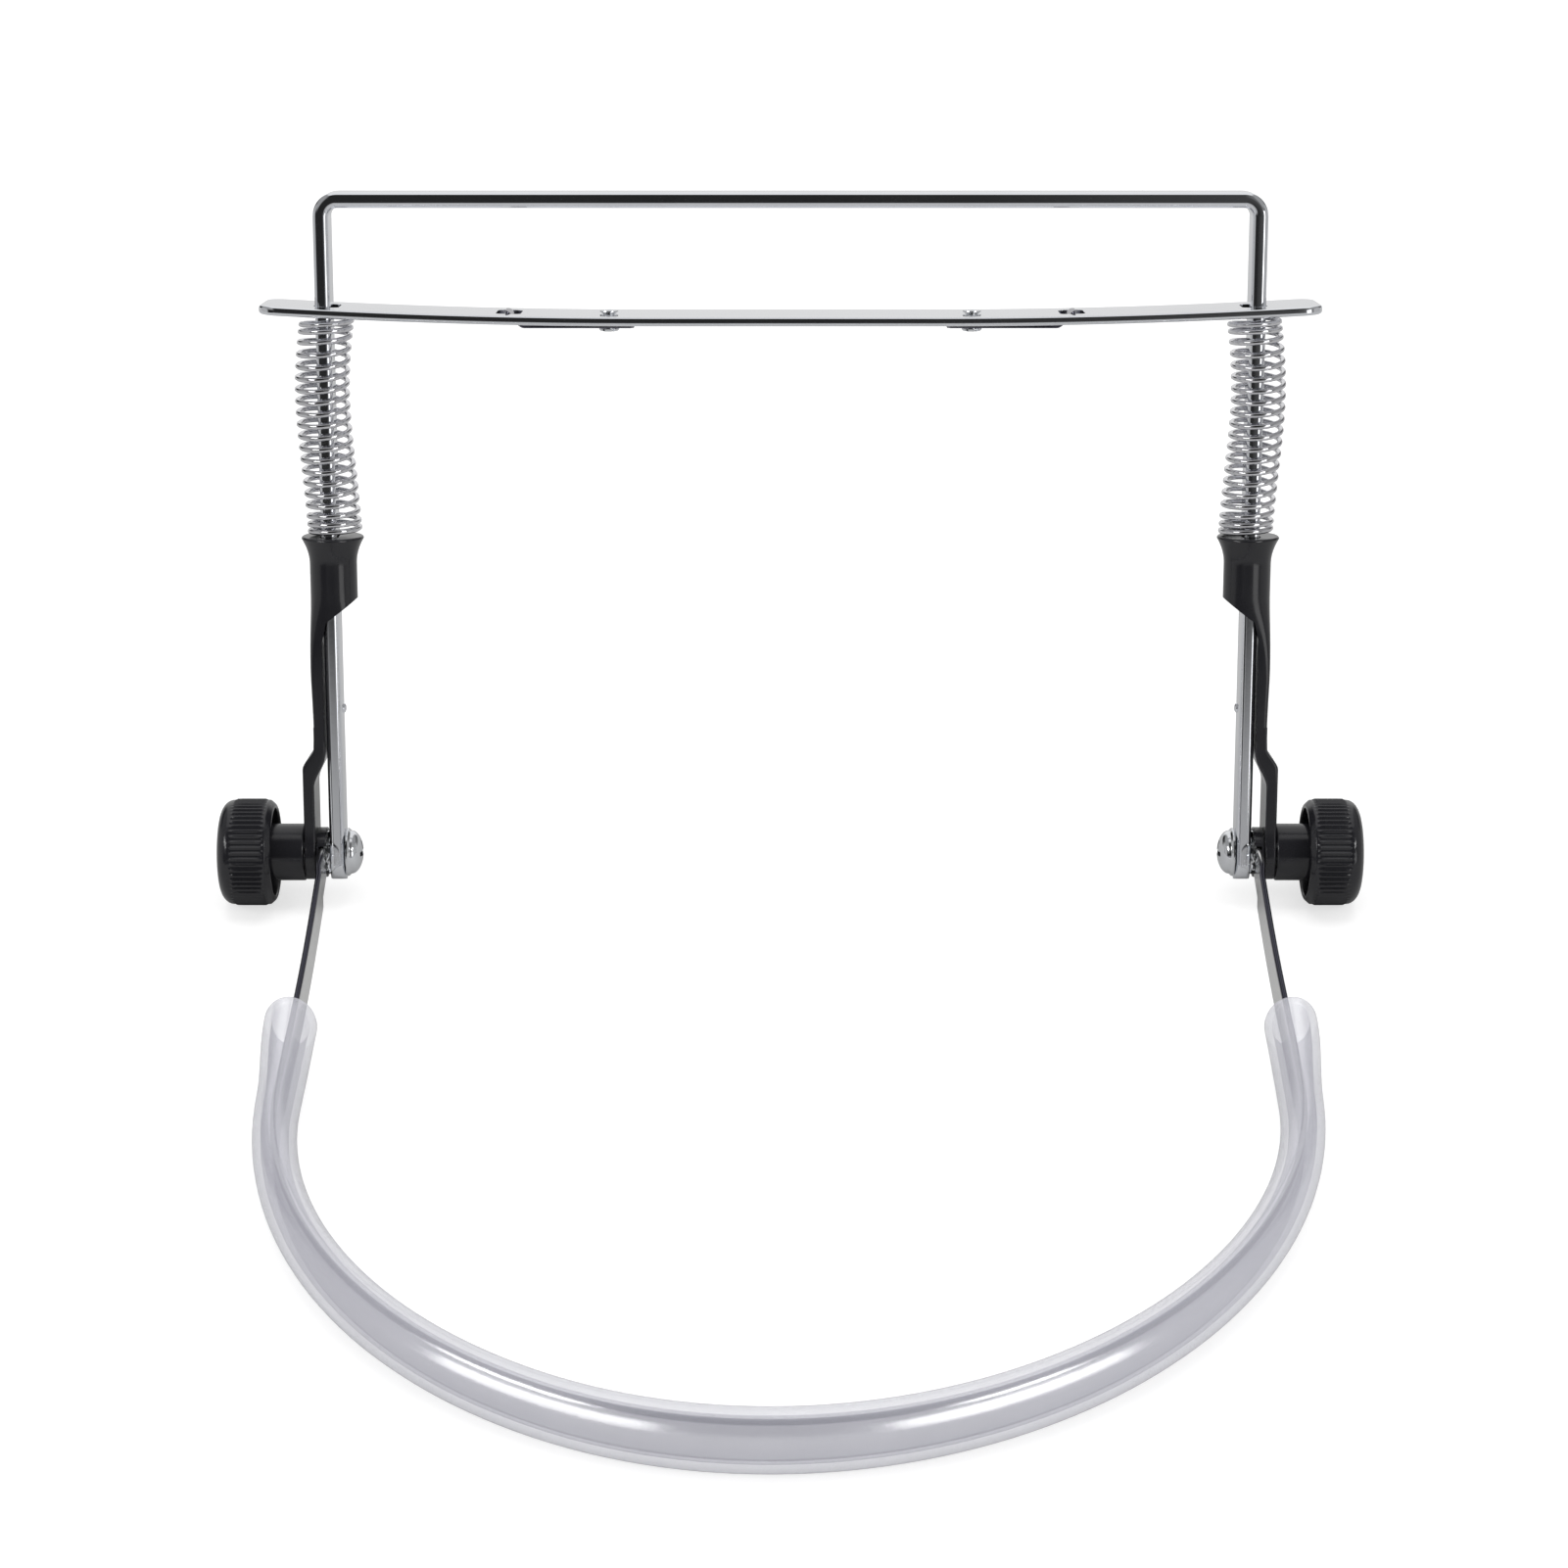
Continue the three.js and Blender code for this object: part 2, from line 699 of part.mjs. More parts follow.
// A moulded disc around the strip's eye, with radial serrations on its inner face.
function frictionDisc() {
  let disc = pin(disc_radius, disc_in, disc_out, fine_facets);
  const pocket = strip_thick + seat_gap;
  disc = disc.subtract(sidePrism(stripSide(seat_gap, strip_taper + overrun), 2 * pocket, disc_in));
  for (let tooth = 0; tooth < serrations; tooth++) {
    const groove = new THREE.CylinderGeometry(serration_width / 2, serration_width / 2, disc_radius, 4);
    groove.scale((2 * serration_depth) / serration_width, 1, 1);
    groove.translate(disc_in, pin_hole + disc_radius / 2, 0);
    groove.rotateX(((tooth + 1 / 2) / serrations) * 2 * Math.PI);
    disc = disc.subtract(solid(groove));
  }
  return disc.subtract(pin(pin_hole, leg_in, arm_out));
}

// Half of a knob's section: hub, hollow back, lips and domed front.
function knobProfile() {
  const root = knob_radius - rib_depth;
  const lip = knob_radius - lip_step;
  const rib_back = knob_back + back_lip;
  const rib_front = rib_back + rib_length;
  const front = rib_front + front_lip;
  const hollow = root - shell_wall;
  const bore = insert_radius + seat_gap;
  const bore_end = hub_face + insert_length + 2 * seat_gap;
  const profile = [
    [0, bore_end],
    [bore, bore_end],
    [bore, hub_face],
    [hub_radius - hub_edge, hub_face],
    [hub_radius, hub_face + hub_edge],
    [hub_radius, knob_back + back_hollow],
    [hollow - hub_edge, knob_back + back_hollow],
    [hollow, knob_back],
    [lip - back_lip, knob_back],
    [lip, rib_back],
    [root, rib_back + hub_edge],
    [root, rib_front - hub_edge],
    [lip, rib_front],
  ];
  const lip_steps = 3;
  for (let step = 1; step <= lip_steps; step++) {
    const angle = ((step / lip_steps) * Math.PI) / 2;
    profile.push([
      face_flat + (lip - face_flat) * Math.cos(angle),
      rib_front + front_lip * Math.sin(angle),
    ]);
  }
  profile.push([0, front]);
  return profile;
}

// A band of fine ribs along the axis, as a toothed ring over the shell.
function knobRibs() {
  const outline = [];
  for (let rib = 0; rib < ribs; rib++) {
    for (const [radius, share] of [
      [knob_radius - rib_depth, 0],
      [knob_radius, 1 / 2],
    ]) {
      const angle = ((rib + share - 1 / 2) / ribs) * 2 * Math.PI - Math.PI / 2;
      outline.push([radius * Math.cos(angle), radius * Math.sin(angle)]);
    }
  }
  const ring = new THREE.Shape(outline.map(([x, y]) => vec2(x, y)));
  const inside = circle(knob_radius - rib_depth - shell_wall / 2, fine_facets);
  ring.holes.push(new THREE.Path(inside.map(([x, y]) => vec2(x, y))));
  return sidePrism(ring, rib_length, knob_back + back_lip + rib_length / 2);
}

const clampKnob = () => turned(knobProfile(), fine_facets).add(knobRibs());

function knobInsert() {
  const from = hub_face + seat_gap;
  return pin(insert_radius, from, from + insert_length).subtract(
    pin(pin_hole, from - overrun, from + insert_length + overrun),
  );
}

// The middle line of the neck loop in its own plane: bowed sides and one bend.
function neckPath() {
  const centre = neck_reach - neck_radius;
  const path = [];
  for (let step = 0; step < side_steps; step++) {
    const share = step / side_steps;
    const line = neck_pivot + (neck_radius - neck_pivot) * share;
    path.push([line - neck_dip * Math.sin(Math.PI * share), -centre * share]);
  }
  for (let step = 0; step <= neck_steps; step++) {
    const angle = (step / neck_steps) * Math.PI;
    path.push([neck_radius * Math.cos(angle), -centre - neck_radius * Math.sin(angle)]);
  }
  for (let step = side_steps - 1; step >= 0; step--) {
    path.push([-path[step][0], path[step][1]]);
  }
  return path.map(([x, y], at) => {
    const before = path[Math.max(at - 1, 0)];
    const after = path[Math.min(at + 1, path.length - 1)];
    return { x, y, angle: Math.atan2(before[0] - after[0], before[1] - after[1]) };
  });
}

// The strip lies flat inside each disc, and is rounded and bored at its ends.
function neckBand() {
  const path = neckPath().slice(1, -1);
  const half = (side) => {
    const step = (side * strip_thick) / 2;
    const line = path.map(({ x, y, angle }) => [x + step * Math.cos(angle), y - step * Math.sin(angle)]);
    const end = (hand) => [
      [hand * (neck_pivot + step), strip_eye + overrun],
      [hand * (neck_pivot + step), -disc_radius],
    ];
    return [...end(1), ...line, ...end(-1).reverse()];
  };
  const outline = half(-1).concat(half(1).reverse());
  const strip = topPrism(outline, strip_width).intersect(
    sidePrism(stripSide(0, neck_reach + overrun), 2 * (neck_radius + arm_out)),
  );
  return strip.subtract(pin(pin_hole, -arm_out, arm_out));
}

// The line under the sleeve, which starts some way from the pivots.
function sleevePath(grow) {
  const start = sleeve_start - grow;
  const path = neckPath();
  const kept = path.filter(({ y }) => -y > start + overrun);
  const after = path.findIndex(({ y }) => -y > start);
  const [from, to] = [path[after - 1], path[after]];
  const share = (start + from.y) / (from.y - to.y);
  const x = from.x + (to.x - from.x) * share;
  const first = { x, y: -start, angle: to.angle };
  return [first, ...kept, { x: -x, y: -start, angle: Math.PI - to.angle }];
}

// An oval tube along the neck's line, upright on its long axis.
function sleeveTube(width, height, grow) {
  const rings = sleevePath(grow).map(({ x, y, angle }) => {
    return circle(1, sleeve_points).map(([a, b]) =>
      vec3(
        x + (a * Math.cos(angle) * width) / 2,
        y - (a * Math.sin(angle) * width) / 2,
        (b * height) / 2,
      ),
    );
  });
  return solid(loft(rings));
}

const neckSleeve = () =>
  sleeveTube(sleeve_width, sleeve_height, 0).subtract(
    sleeveTube(sleeve_width - 2 * sleeve_wall, sleeve_height - 2 * sleeve_wall, overrun),
  );

// Finishes
const finish = (color, roughness, metalness, more = {}) =>
  new THREE.MeshStandardMaterial({ color, roughness, metalness, ...more });
const chrome = finish(0xd9dadd, 0.08, 1);
const spring_steel = finish(0xc4c4c6, 0.2, 1);
const bare_steel = finish(0xa8a8a6, 0.32, 1);
const zinc = finish(0xcdd0d2, 0.3, 1);
const brass = finish(0xb5924c, 0.3, 1);
const black_plastic = finish(0x141416, 0.28, 0);
const soft_sleeve = finish(0xc3c3cf, 0.22, 0, { transparent: true, opacity: 0.75 });

function piece(group, name, made, material, side = 1) {
  const mesh = new THREE.Mesh(geometryOf(made), material);
  mesh.name = name;
  mesh.scale.x = side;
  group.add(mesh);
}

// Pieces that tilt with the arms: drawn upright, with the pivots' line at zero.
const clamp = new THREE.Group();
clamp.rotation.x = THREE.MathUtils.degToRad(-arm_lean);
piece(clamp, "clamp_bail", clampBail(), chrome);
piece(clamp, "tray_plate", trayPlate(), chrome);

// Pieces of the neck loop: drawn level, reaching towards -Y.
const neck = new THREE.Group();
neck.rotation.x = yoke_slope;
piece(neck, "neck_band", neckBand(), bare_steel);
piece(neck, "neck_sleeve", neckSleeve(), soft_sleeve);

for (const [hand, side] of [
  ["left", -1],
  ["right", 1],
]) {
  piece(clamp, "leaf_spring_" + hand, leafSpring(), spring_steel, side);
  piece(clamp, "leaf_rivet_" + hand, leafRivet(), zinc, side);
  piece(clamp, "coil_spring_" + hand, coilSpring("coil_spring_" + hand, side), spring_steel);
  piece(clamp, "arm_" + hand, armMoulding(), black_plastic, side);
  piece(clamp, "pivot_screw_" + hand, pivotScrew(), zinc, side);
  piece(clamp, "star_washer_" + hand, starWasher(), zinc, side);
  piece(clamp, "knob_" + hand, clampKnob(), black_plastic, side);
  piece(clamp, "knob_insert_" + hand, knobInsert(), brass, side);
  piece(neck, "friction_disc_" + hand, frictionDisc(), black_plastic, side);
}

// The holder stands on its knobs and on the back of its neck loop.
// Its origin is on that surface, under the middle of its box.
const holder = new THREE.Group();
holder.add(clamp, neck);
holder.updateMatrixWorld(true);
const box = new THREE.Box3().setFromObject(holder, true);
const middle = box.getCenter(vec3(0, 0, 0));
for (const group of [clamp, neck]) {
  group.position.set(-middle.x, -middle.y, -box.min.z);
}

export default holder;
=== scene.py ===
# %% [markdown]
# # A harmonica holder worn round the neck
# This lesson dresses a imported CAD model. A chromed bail and a sprung tray grip the
# instrument, two moulded arms carry them, and a steel strip in a soft sleeve goes
# round the player's neck. The CAD model is the fixed frame: each new piece is drawn
# in millimetres, with the CAD's own sizes, and is then set onto it.

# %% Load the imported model
import math
import bmesh
import bpy
from mathutils import Matrix, Vector


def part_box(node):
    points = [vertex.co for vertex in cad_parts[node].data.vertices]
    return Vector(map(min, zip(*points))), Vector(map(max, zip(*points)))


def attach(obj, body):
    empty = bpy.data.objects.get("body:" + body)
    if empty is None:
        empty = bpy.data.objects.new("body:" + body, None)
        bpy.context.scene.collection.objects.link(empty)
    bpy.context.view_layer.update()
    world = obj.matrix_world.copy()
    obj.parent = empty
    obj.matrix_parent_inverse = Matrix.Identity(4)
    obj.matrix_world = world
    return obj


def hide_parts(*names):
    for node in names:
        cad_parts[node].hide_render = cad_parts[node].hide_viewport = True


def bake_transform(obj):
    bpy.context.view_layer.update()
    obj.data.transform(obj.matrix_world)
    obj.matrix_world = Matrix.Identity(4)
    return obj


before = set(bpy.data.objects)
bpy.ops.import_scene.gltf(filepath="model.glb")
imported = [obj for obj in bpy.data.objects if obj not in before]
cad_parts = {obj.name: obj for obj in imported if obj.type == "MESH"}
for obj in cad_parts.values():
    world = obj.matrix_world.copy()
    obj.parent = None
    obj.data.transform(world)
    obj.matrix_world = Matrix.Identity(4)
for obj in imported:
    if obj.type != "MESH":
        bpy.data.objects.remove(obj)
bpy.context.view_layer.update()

# %% [markdown]
# ## Two drawing planes
# The clamp leans back from the pivots, and the neck loop slopes down from them to
# lie on the table. Every piece could be drawn where it stands, but it is easier to
# draw it upright with the pivots' line at zero and to turn the finished mesh.

# %% Places of the clamp and of the neck loop
knob_radius, neck_reach = 11.55, 193.9
sleeve_width, sleeve_height = 8.6, 13.3
knob_low, knob_high = (Vector(corner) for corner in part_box("knob_right"))
pivot = (knob_low + knob_high) / 2
pivot.x = 0
to_metres = Matrix.Scale(0.001, 4)
arm_lean = math.radians(16.4)
neck_slope = math.asin((knob_radius - sleeve_height / 2) / neck_reach)
clamp_place = Matrix.Translation(pivot) @ Matrix.Rotation(-arm_lean, 4, "X") @ to_metres
neck_place = Matrix.Translation(pivot) @ Matrix.Rotation(neck_slope, 4, "X") @ to_metres
print("pivots' line at", [round(v * 1000, 2) for v in pivot])

# %% [markdown]
# ## Camera
# A product photograph is taken from far away with a long lens. The direction and
# distance follow from the object itself: its parallel legs and the ellipse of its
# loop fix a camera 29 degrees above the table and 0.8 m from the pivots.

# %% Place the camera
photo_width, focal_pixels = 1601, 3775.5
camera_rise = 29
camera_offset = Vector((-0.00135, -0.6926, 0.4007))
camera_data = bpy.data.cameras.new("photo_camera")
camera_data.sensor_width = 36
camera_data.lens = focal_pixels * 36 / photo_width
camera = bpy.data.objects.new("photo_camera", camera_data)
camera.location = pivot + camera_offset
camera.rotation_euler = (math.radians(90 - camera_rise), 0, 0)
bpy.context.scene.collection.objects.link(camera)
bpy.context.scene.camera = camera
bpy.context.scene.view_settings.view_transform = "Standard"
print("lens:", round(camera_data.lens, 2), "mm")

# %% [markdown]
# ## Node helpers
# Every finish below is a small network: a pattern in object space, a colour mixed
# by it, a roughness spread by it and a fine bump. Writing that network once as
# functions keeps each finish down to its own numbers.

# %% Helpers for shader networks
def new_material(name):
    material = bpy.data.materials.new(name + "_finish")
    material["slot"] = name
    material.use_nodes = True
    tree = material.node_tree
    shader = tree.nodes["Principled BSDF"]
    place = tree.nodes.new("ShaderNodeTexCoord")
    return material, tree, shader, place.outputs["Object"]


def settle(node, **values):
    """Give the node's own inputs plain values; a name's _ stands for a space."""
    for name, value in values.items():
        node.inputs[name.replace("_", " ")].default_value = value


def stretched(tree, vector, scale):
    """Object coordinates stretched by a scale for each axis."""
    mapping = tree.nodes.new("ShaderNodeMapping")
    settle(mapping, Scale=scale)
    tree.links.new(vector, mapping.inputs["Vector"])
    return mapping.outputs["Vector"]


def noise(tree, vector, scale, detail=3.0):
    node = tree.nodes.new("ShaderNodeTexNoise")
    settle(node, Scale=scale, Detail=detail, Roughness=0.55)
    tree.links.new(vector, node.inputs["Vector"])
    return node.outputs["Fac"]


def spread(tree, value, low, high, start=0.3, end=0.7, interpolation="LINEAR"):
    """A pattern's values between start and end, spread from low to high."""
    node = tree.nodes.new("ShaderNodeMapRange")
    node.interpolation_type = interpolation
    settle(node, From_Min=start, From_Max=end, To_Min=low, To_Max=high)
    tree.links.new(value, node.inputs["Value"])
    return node.outputs["Result"]


def two_tones(tree, share, first, second):
    node = tree.nodes.new("ShaderNodeMix")
    node.data_type = "RGBA"
    settle(node, A=(*first, 1), B=(*second, 1))
    tree.links.new(share, node.inputs["Factor"])
    return node.outputs["Result"]


def maths(tree, operation, *values):
    """A Math node whose inputs are numbers or other nodes' outputs."""
    node = tree.nodes.new("ShaderNodeMath")
    node.operation = operation
    for place, value in enumerate(values):
        if isinstance(value, (int, float)):
            node.inputs[place].default_value = value
        else:
            tree.links.new(value, node.inputs[place])
    return node.outputs[0]


def bump(tree, shader, height, strength, distance):
    node = tree.nodes.new("ShaderNodeBump")
    settle(node, Strength=strength, Distance=distance)
    tree.links.new(height, node.inputs["Height"])
    tree.links.new(node.outputs["Normal"], shader.inputs["Normal"])


# %% [markdown]
# ## Metals
# The bail and the tray are chrome plated: nearly a mirror, with faint clouds where
# fingers have been. The coil springs are bright wire, and the leaves under the tray
# are blued. The neck strip is drawn steel with streaks along it, and its rounded
# edges get painted shade that stands in for the dark they mirror. The small hardware
# is zinc with a duller grain. One function covers them all, because plated and bare
# metals differ only in tone, gloss and grain.

# %% A finish for plated and bare metal
def metal_finish(name, tones, roughness, cloud, grain, depth, stretch=(1, 1, 1)):
    """Cloudy tones, a gloss that varies with clouds and grain, and a fine relief."""
    material, tree, shader, place = new_material(name)
    clouds = noise(tree, place, cloud, 4)
    grains = noise(tree, stretched(tree, place, stretch), grain, 2)
    wear = maths(tree, "MULTIPLY_ADD", grains, 0.6, spread(tree, clouds, 0, 0.4))
    settle(shader, Metallic=1)
    tree.links.new(two_tones(tree, clouds, *tones), shader.inputs["Base Color"])
    tree.links.new(spread(tree, wear, *roughness, 0.2, 0.8), shader.inputs["Roughness"])
    bump(tree, shader, grains, 0.25, depth)
    return material


def darkened(material, attribute, tone):
    """The same finish with a tone mixed over it wherever the mesh's attribute is 1."""
    tree = material.node_tree
    colour = tree.nodes["Principled BSDF"].inputs["Base Color"]
    share = tree.nodes.new("ShaderNodeAttribute")
    share.attribute_name = attribute
    mixed = tree.nodes.new("ShaderNodeMix")
    mixed.data_type = "RGBA"
    settle(mixed, B=(*tone, 1))
    tree.links.new(share.outputs["Fac"], mixed.inputs["Factor"])
    tree.links.new(colour.links[0].from_socket, mixed.inputs["A"])
    tree.links.new(mixed.outputs["Result"], colour)


# %% The metals
chrome = metal_finish("chrome", ((0.80, 0.82, 0.86), (0.90, 0.91, 0.94)), (0.03, 0.10), 35, 900, 4e-6)
spring_steel = metal_finish(
    "spring_steel", ((0.64, 0.64, 0.67), (0.82, 0.82, 0.84)), (0.03, 0.09), 90, 1500, 6e-6
)
blued_steel = metal_finish(
    "blued_steel", ((0.10, 0.10, 0.13), (0.18, 0.18, 0.22)), (0.10, 0.20), 90, 1500, 6e-6
)
blued_steel["slot"] = "spring_steel"
bare_steel = metal_finish(
    "bare_steel", ((0.80, 0.80, 0.79), (0.92, 0.92, 0.91)), (0.10, 0.24), 40, 60, 1e-5, (1, 1, 45)
)
# Painted shade: a near-black tone over the strip's rounded edges, standing in for the dark they mirror.
darkened(bare_steel, "painted_edge_shade", (0.05, 0.05, 0.07))
zinc = metal_finish("zinc", ((0.74, 0.76, 0.79), (0.88, 0.89, 0.91)), (0.08, 0.20), 160, 1800, 1e-5)
brass = metal_finish("brass", ((0.56, 0.42, 0.18), (0.72, 0.56, 0.27)), (0.22, 0.38), 120, 1500, 2e-5)
print("metals:", [m.name for m in (chrome, spring_steel, blued_steel, bare_steel, zinc, brass)])

# %% [markdown]
# ## Black plastic
# The arms, knobs and discs are glossy black plastic from a polished mould. Real
# black is never zero: it has a little grey, a faint ripple from the mould and
# small differences of gloss, which show in the highlights.

# %% The black plastic
def moulded_finish(name, tones, roughness, cloud, ripple, strength, depth):
    """Smooth plastic: cloudy tones, a gloss that varies with them and a faint ripple."""
    material, tree, shader, place = new_material(name)
    clouds = noise(tree, place, cloud, 4)
    ripples = noise(tree, place, ripple, 2)
    tree.links.new(two_tones(tree, clouds, *tones), shader.inputs["Base Color"])
    tree.links.new(spread(tree, clouds, *roughness), shader.inputs["Roughness"])
    settle(shader, IOR=1.5)
    bump(tree, shader, ripples, strength, depth)
    return material


black_tones = ((0.009, 0.009, 0.011), (0.016, 0.016, 0.019))
black_plastic = moulded_finish("black_plastic", black_tones, (0.10, 0.24), 60, 420, 0.2, 2e-5)
print("plastic:", black_plastic.name)

# %% [markdown]
# ## Clear sleeve
# The sleeve is soft clear vinyl that has gone grey. Full refraction through two
# walls would be slow and grainy, so the walls are part see-through instead: where
# one is faced it hides a third of what is behind it, and where it is seen along
# its surface two thirds. A strong clear coat draws the long streaks of the lamps.

# %% The clear sleeve
def clear_coated(material, cover):
    """The same finish made part see-through, with a strong clear coat over it."""
    tree = material.node_tree
    shader = tree.nodes["Principled BSDF"]
    facing = tree.nodes.new("ShaderNodeLayerWeight")
    settle(facing, Blend=0.35)
    tree.links.new(spread(tree, facing.outputs["Facing"], *cover, 0.0, 1.0), shader.inputs["Alpha"])
    settle(shader, Coat_Weight=1.0, Coat_IOR=4.0, Coat_Roughness=0.19)


sleeve_tones = ((0.54, 0.54, 0.62), (0.64, 0.64, 0.72))
soft_sleeve = moulded_finish("soft_sleeve", sleeve_tones, (0.14, 0.26), 30, 130, 0.25, 2e-4)
clear_coated(soft_sleeve, (0.32, 0.66))
print("sleeve:", soft_sleeve.name)

# %% [markdown]
# ## Mesh helpers
# Most pieces here are bars, tubes and turned shapes, and two operators make them
# all: extruding a closed section from place to place, and spinning a profile. The
# section keeps its points in order, so the faces are clean strips of quads.

# %% Sections in the XY plane
weld = 1e-4


def ring(points):
    """A closed loop of edges through points in the XY plane, and nothing else."""
    bm = bmesh.new()
    bmesh.ops.create_circle(bm, segments=len(points), radius=1)
    bm.verts.ensure_lookup_table()
    for vert, (x, y) in zip(bm.verts, points):
        vert.co = (x, y, 0)
    return bm


def round_points(radius, count, squash_y=1.0):
    turns = [math.tau * step / count for step in range(count)]
    return [(radius * math.cos(a), radius * squash_y * math.sin(a)) for a in turns]


def rounded_box(width, height, radius, steps=4):
    """A rectangle with round corners, as points anticlockwise round its middle."""
    points = []
    for quarter, (sx, sy) in enumerate(((1, 1), (-1, 1), (-1, -1), (1, -1))):
        for step in range(steps + 1):
            a = (quarter + step / steps) * math.pi / 2
            x = sx * (width / 2 - radius) + radius * math.cos(a)
            y = sy * (height / 2 - radius) + radius * math.sin(a)
            points.append((x, y))
    return points


# %% Sweep a section, spin a profile
def sweep(points, places, capped=True):
    """The section carried through the places, each a 4 x 4 matrix."""
    bm = ring(points)
    edges = list(bm.edges)
    if capped:
        bmesh.ops.contextual_create(bm, geom=edges)
    bmesh.ops.transform(bm, matrix=places[0], verts=bm.verts[:])
    for before, after in zip(places, places[1:]):
        made = bmesh.ops.extrude_edge_only(bm, edges=edges)["geom"]
        edges = [g for g in made if isinstance(g, bmesh.types.BMEdge) and g.is_boundary]
        verts = [g for g in made if isinstance(g, bmesh.types.BMVert)]
        bmesh.ops.transform(bm, matrix=after @ before.inverted(), verts=verts)
    if capped:
        bmesh.ops.contextual_create(bm, geom=edges)
    bmesh.ops.recalc_face_normals(bm, faces=bm.faces[:])
    return bm


def spun(profile, steps=64):
    """A profile of (radius, x) pairs turned about the X axis."""
    bm = bmesh.new()
    verts = [bm.verts.new((x, 0, radius)) for radius, x in profile]
    edges = [bm.edges.new(pair) for pair in zip(verts, verts[1:])]
    bmesh.ops.spin(
        bm, geom=verts + edges, cent=(0, 0, 0), axis=(1, 0, 0), angle=math.tau, steps=steps,
        use_merge=True,
    )
    bmesh.ops.remove_doubles(bm, verts=bm.verts[:], dist=weld)
    bmesh.ops.recalc_face_normals(bm, faces=bm.faces[:])
    return bm


def rounded_line(line, radius, steps=3):
    """The same line with its inner corners rounded off, as a maker's drawing shows them."""
    points = [Vector(line[0])]
    for before, corner, after in zip(line, line[1:], line[2:]):
        before, corner, after = Vector(before), Vector(corner), Vector(after)
        reach = min(radius, (before - corner).length / 2.2, (after - corner).length / 2.2)
        start = corner + (before - corner).normalized() * reach
        end = corner + (after - corner).normalized() * reach
        for step in range(steps + 1):
            t = step / steps
            points.append(start.lerp(corner, t).lerp(corner.lerp(end, t), t))
    points.append(Vector(line[-1]))
    return [tuple(point) for point in points]


# %% Prisms and cuts
def prism(points, length, axis="Z"):
    """An outline pushed out to both sides of its plane, its length along one axis."""
    bm = ring(points)
    face = bmesh.ops.contextual_create(bm, geom=bm.edges[:])["faces"]
    made = bmesh.ops.extrude_face_region(bm, geom=face)["geom"]
    far_end = [g for g in made if isinstance(g, bmesh.types.BMVert)]
    bmesh.ops.translate(bm, vec=(0, 0, length), verts=far_end)
    bmesh.ops.translate(bm, vec=(0, 0, -length / 2), verts=bm.verts[:])
    turns = {
        "X": Matrix.Rotation(math.pi / 2, 4, "Z") @ Matrix.Rotation(math.pi / 2, 4, "X"),
        "Y": Matrix.Rotation(math.pi / 2, 4, "X"),
        "Z": Matrix.Identity(4),
    }
    bmesh.ops.transform(bm, matrix=turns[axis], verts=bm.verts[:])
    bmesh.ops.recalc_face_normals(bm, faces=bm.faces[:])
    return bm


def moved(bm, x=0, y=0, z=0):
    bmesh.ops.translate(bm, vec=(x, y, z), verts=bm.verts[:])
    return bm


def turned(bm, angle, axis):
    bmesh.ops.rotate(bm, cent=(0, 0, 0), matrix=Matrix.Rotation(angle, 3, axis), verts=bm.verts[:])
    return bm


def object_from(bm, name):
    mesh = bpy.data.meshes.new(name)
    bm.to_mesh(mesh)
    bm.free()
    made = bpy.data.objects.new(name, mesh)
    bpy.context.scene.collection.objects.link(made)
    return made


def combined(bm, tool, operation="DIFFERENCE"):
    """One mesh cut by another or joined to it, by a Boolean modifier that is applied at once."""
    body, other = object_from(bm, "scratch"), object_from(tool, "scratch")
    modifier = body.modifiers.new("cut", "BOOLEAN")
    modifier.object = other
    modifier.operation = operation
    modifier.solver = "EXACT"
    evaluated = body.evaluated_get(bpy.context.evaluated_depsgraph_get())
    made = bmesh.new()
    made.from_mesh(evaluated.to_mesh())
    evaluated.to_mesh_clear()
    for used in (body, other):
        mesh = used.data
        bpy.data.objects.remove(used)
        bpy.data.meshes.remove(mesh)
    bmesh.ops.remove_doubles(made, verts=made.verts[:], dist=weld)
    return made


# %% Soft edges
def sharp_edges(bm, degrees):
    limit = math.radians(degrees)
    return [e for e in bm.edges if len(e.link_faces) == 2 and e.calc_face_angle(0) > limit]


def soften(bm, degrees, width, segments):
    """Round every edge that turns by more than some degrees."""
    bmesh.ops.bevel(
        bm, geom=sharp_edges(bm, degrees), offset=width, offset_type="OFFSET", segments=segments,
        profile=0.5, affect="EDGES", clamp_overlap=True, material=-1,
    )


# %% [markdown]
# ## From a mesh to a piece
# Each piece is set in its place, gets its finish, rides on the body that carries
# it and stands for its CAD node. Large flat faces keep straight highlights with a
# Weighted Normal modifier, which lets the small rounded edges take all the turning.

# %% Turn a mesh into a piece of the model
def make_piece(name, bm, place, material, body=None, sharp=45, weighted=True):
    """A dressed piece in place of the CAD node whose name it carries."""
    bmesh.ops.transform(bm, matrix=place, verts=bm.verts[:])
    bmesh.ops.recalc_face_normals(bm, faces=bm.faces[:])
    piece = object_from(bm, name)
    piece.data.shade_smooth()
    piece.data.set_sharp_from_angle(angle=math.radians(sharp))
    piece.data.materials.append(material)
    if weighted:
        modifier = piece.modifiers.new("flat faces stay flat", "WEIGHTED_NORMAL")
        modifier.keep_sharp = True
    if body:
        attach(piece, body)
    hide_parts(name.replace("dressed_", ""))
    print(name, "faces:", len(piece.data.polygons))
    return piece


hands = (("left", -1), ("right", 1))


def make_pair(name, draw, material, body, **looks):
    """A piece of the clamp, drawn for the right hand and mirrored for the left."""
    for hand, side in hands:
        place = clamp_place @ Matrix.Diagonal((side, 1, 1, 1))
        make_piece(f"dressed_{name}_{hand}", draw(), place, material, body.format(hand), **looks)

# %% [markdown]
# ## Clamp bail
# One flat bar, bent twice, is the upper jaw and both legs. A section with rounded
# long edges is swept up the left leg, over the crossbar and down the right leg.
# At each foot the section narrows along a half round, as the real bar is ground.

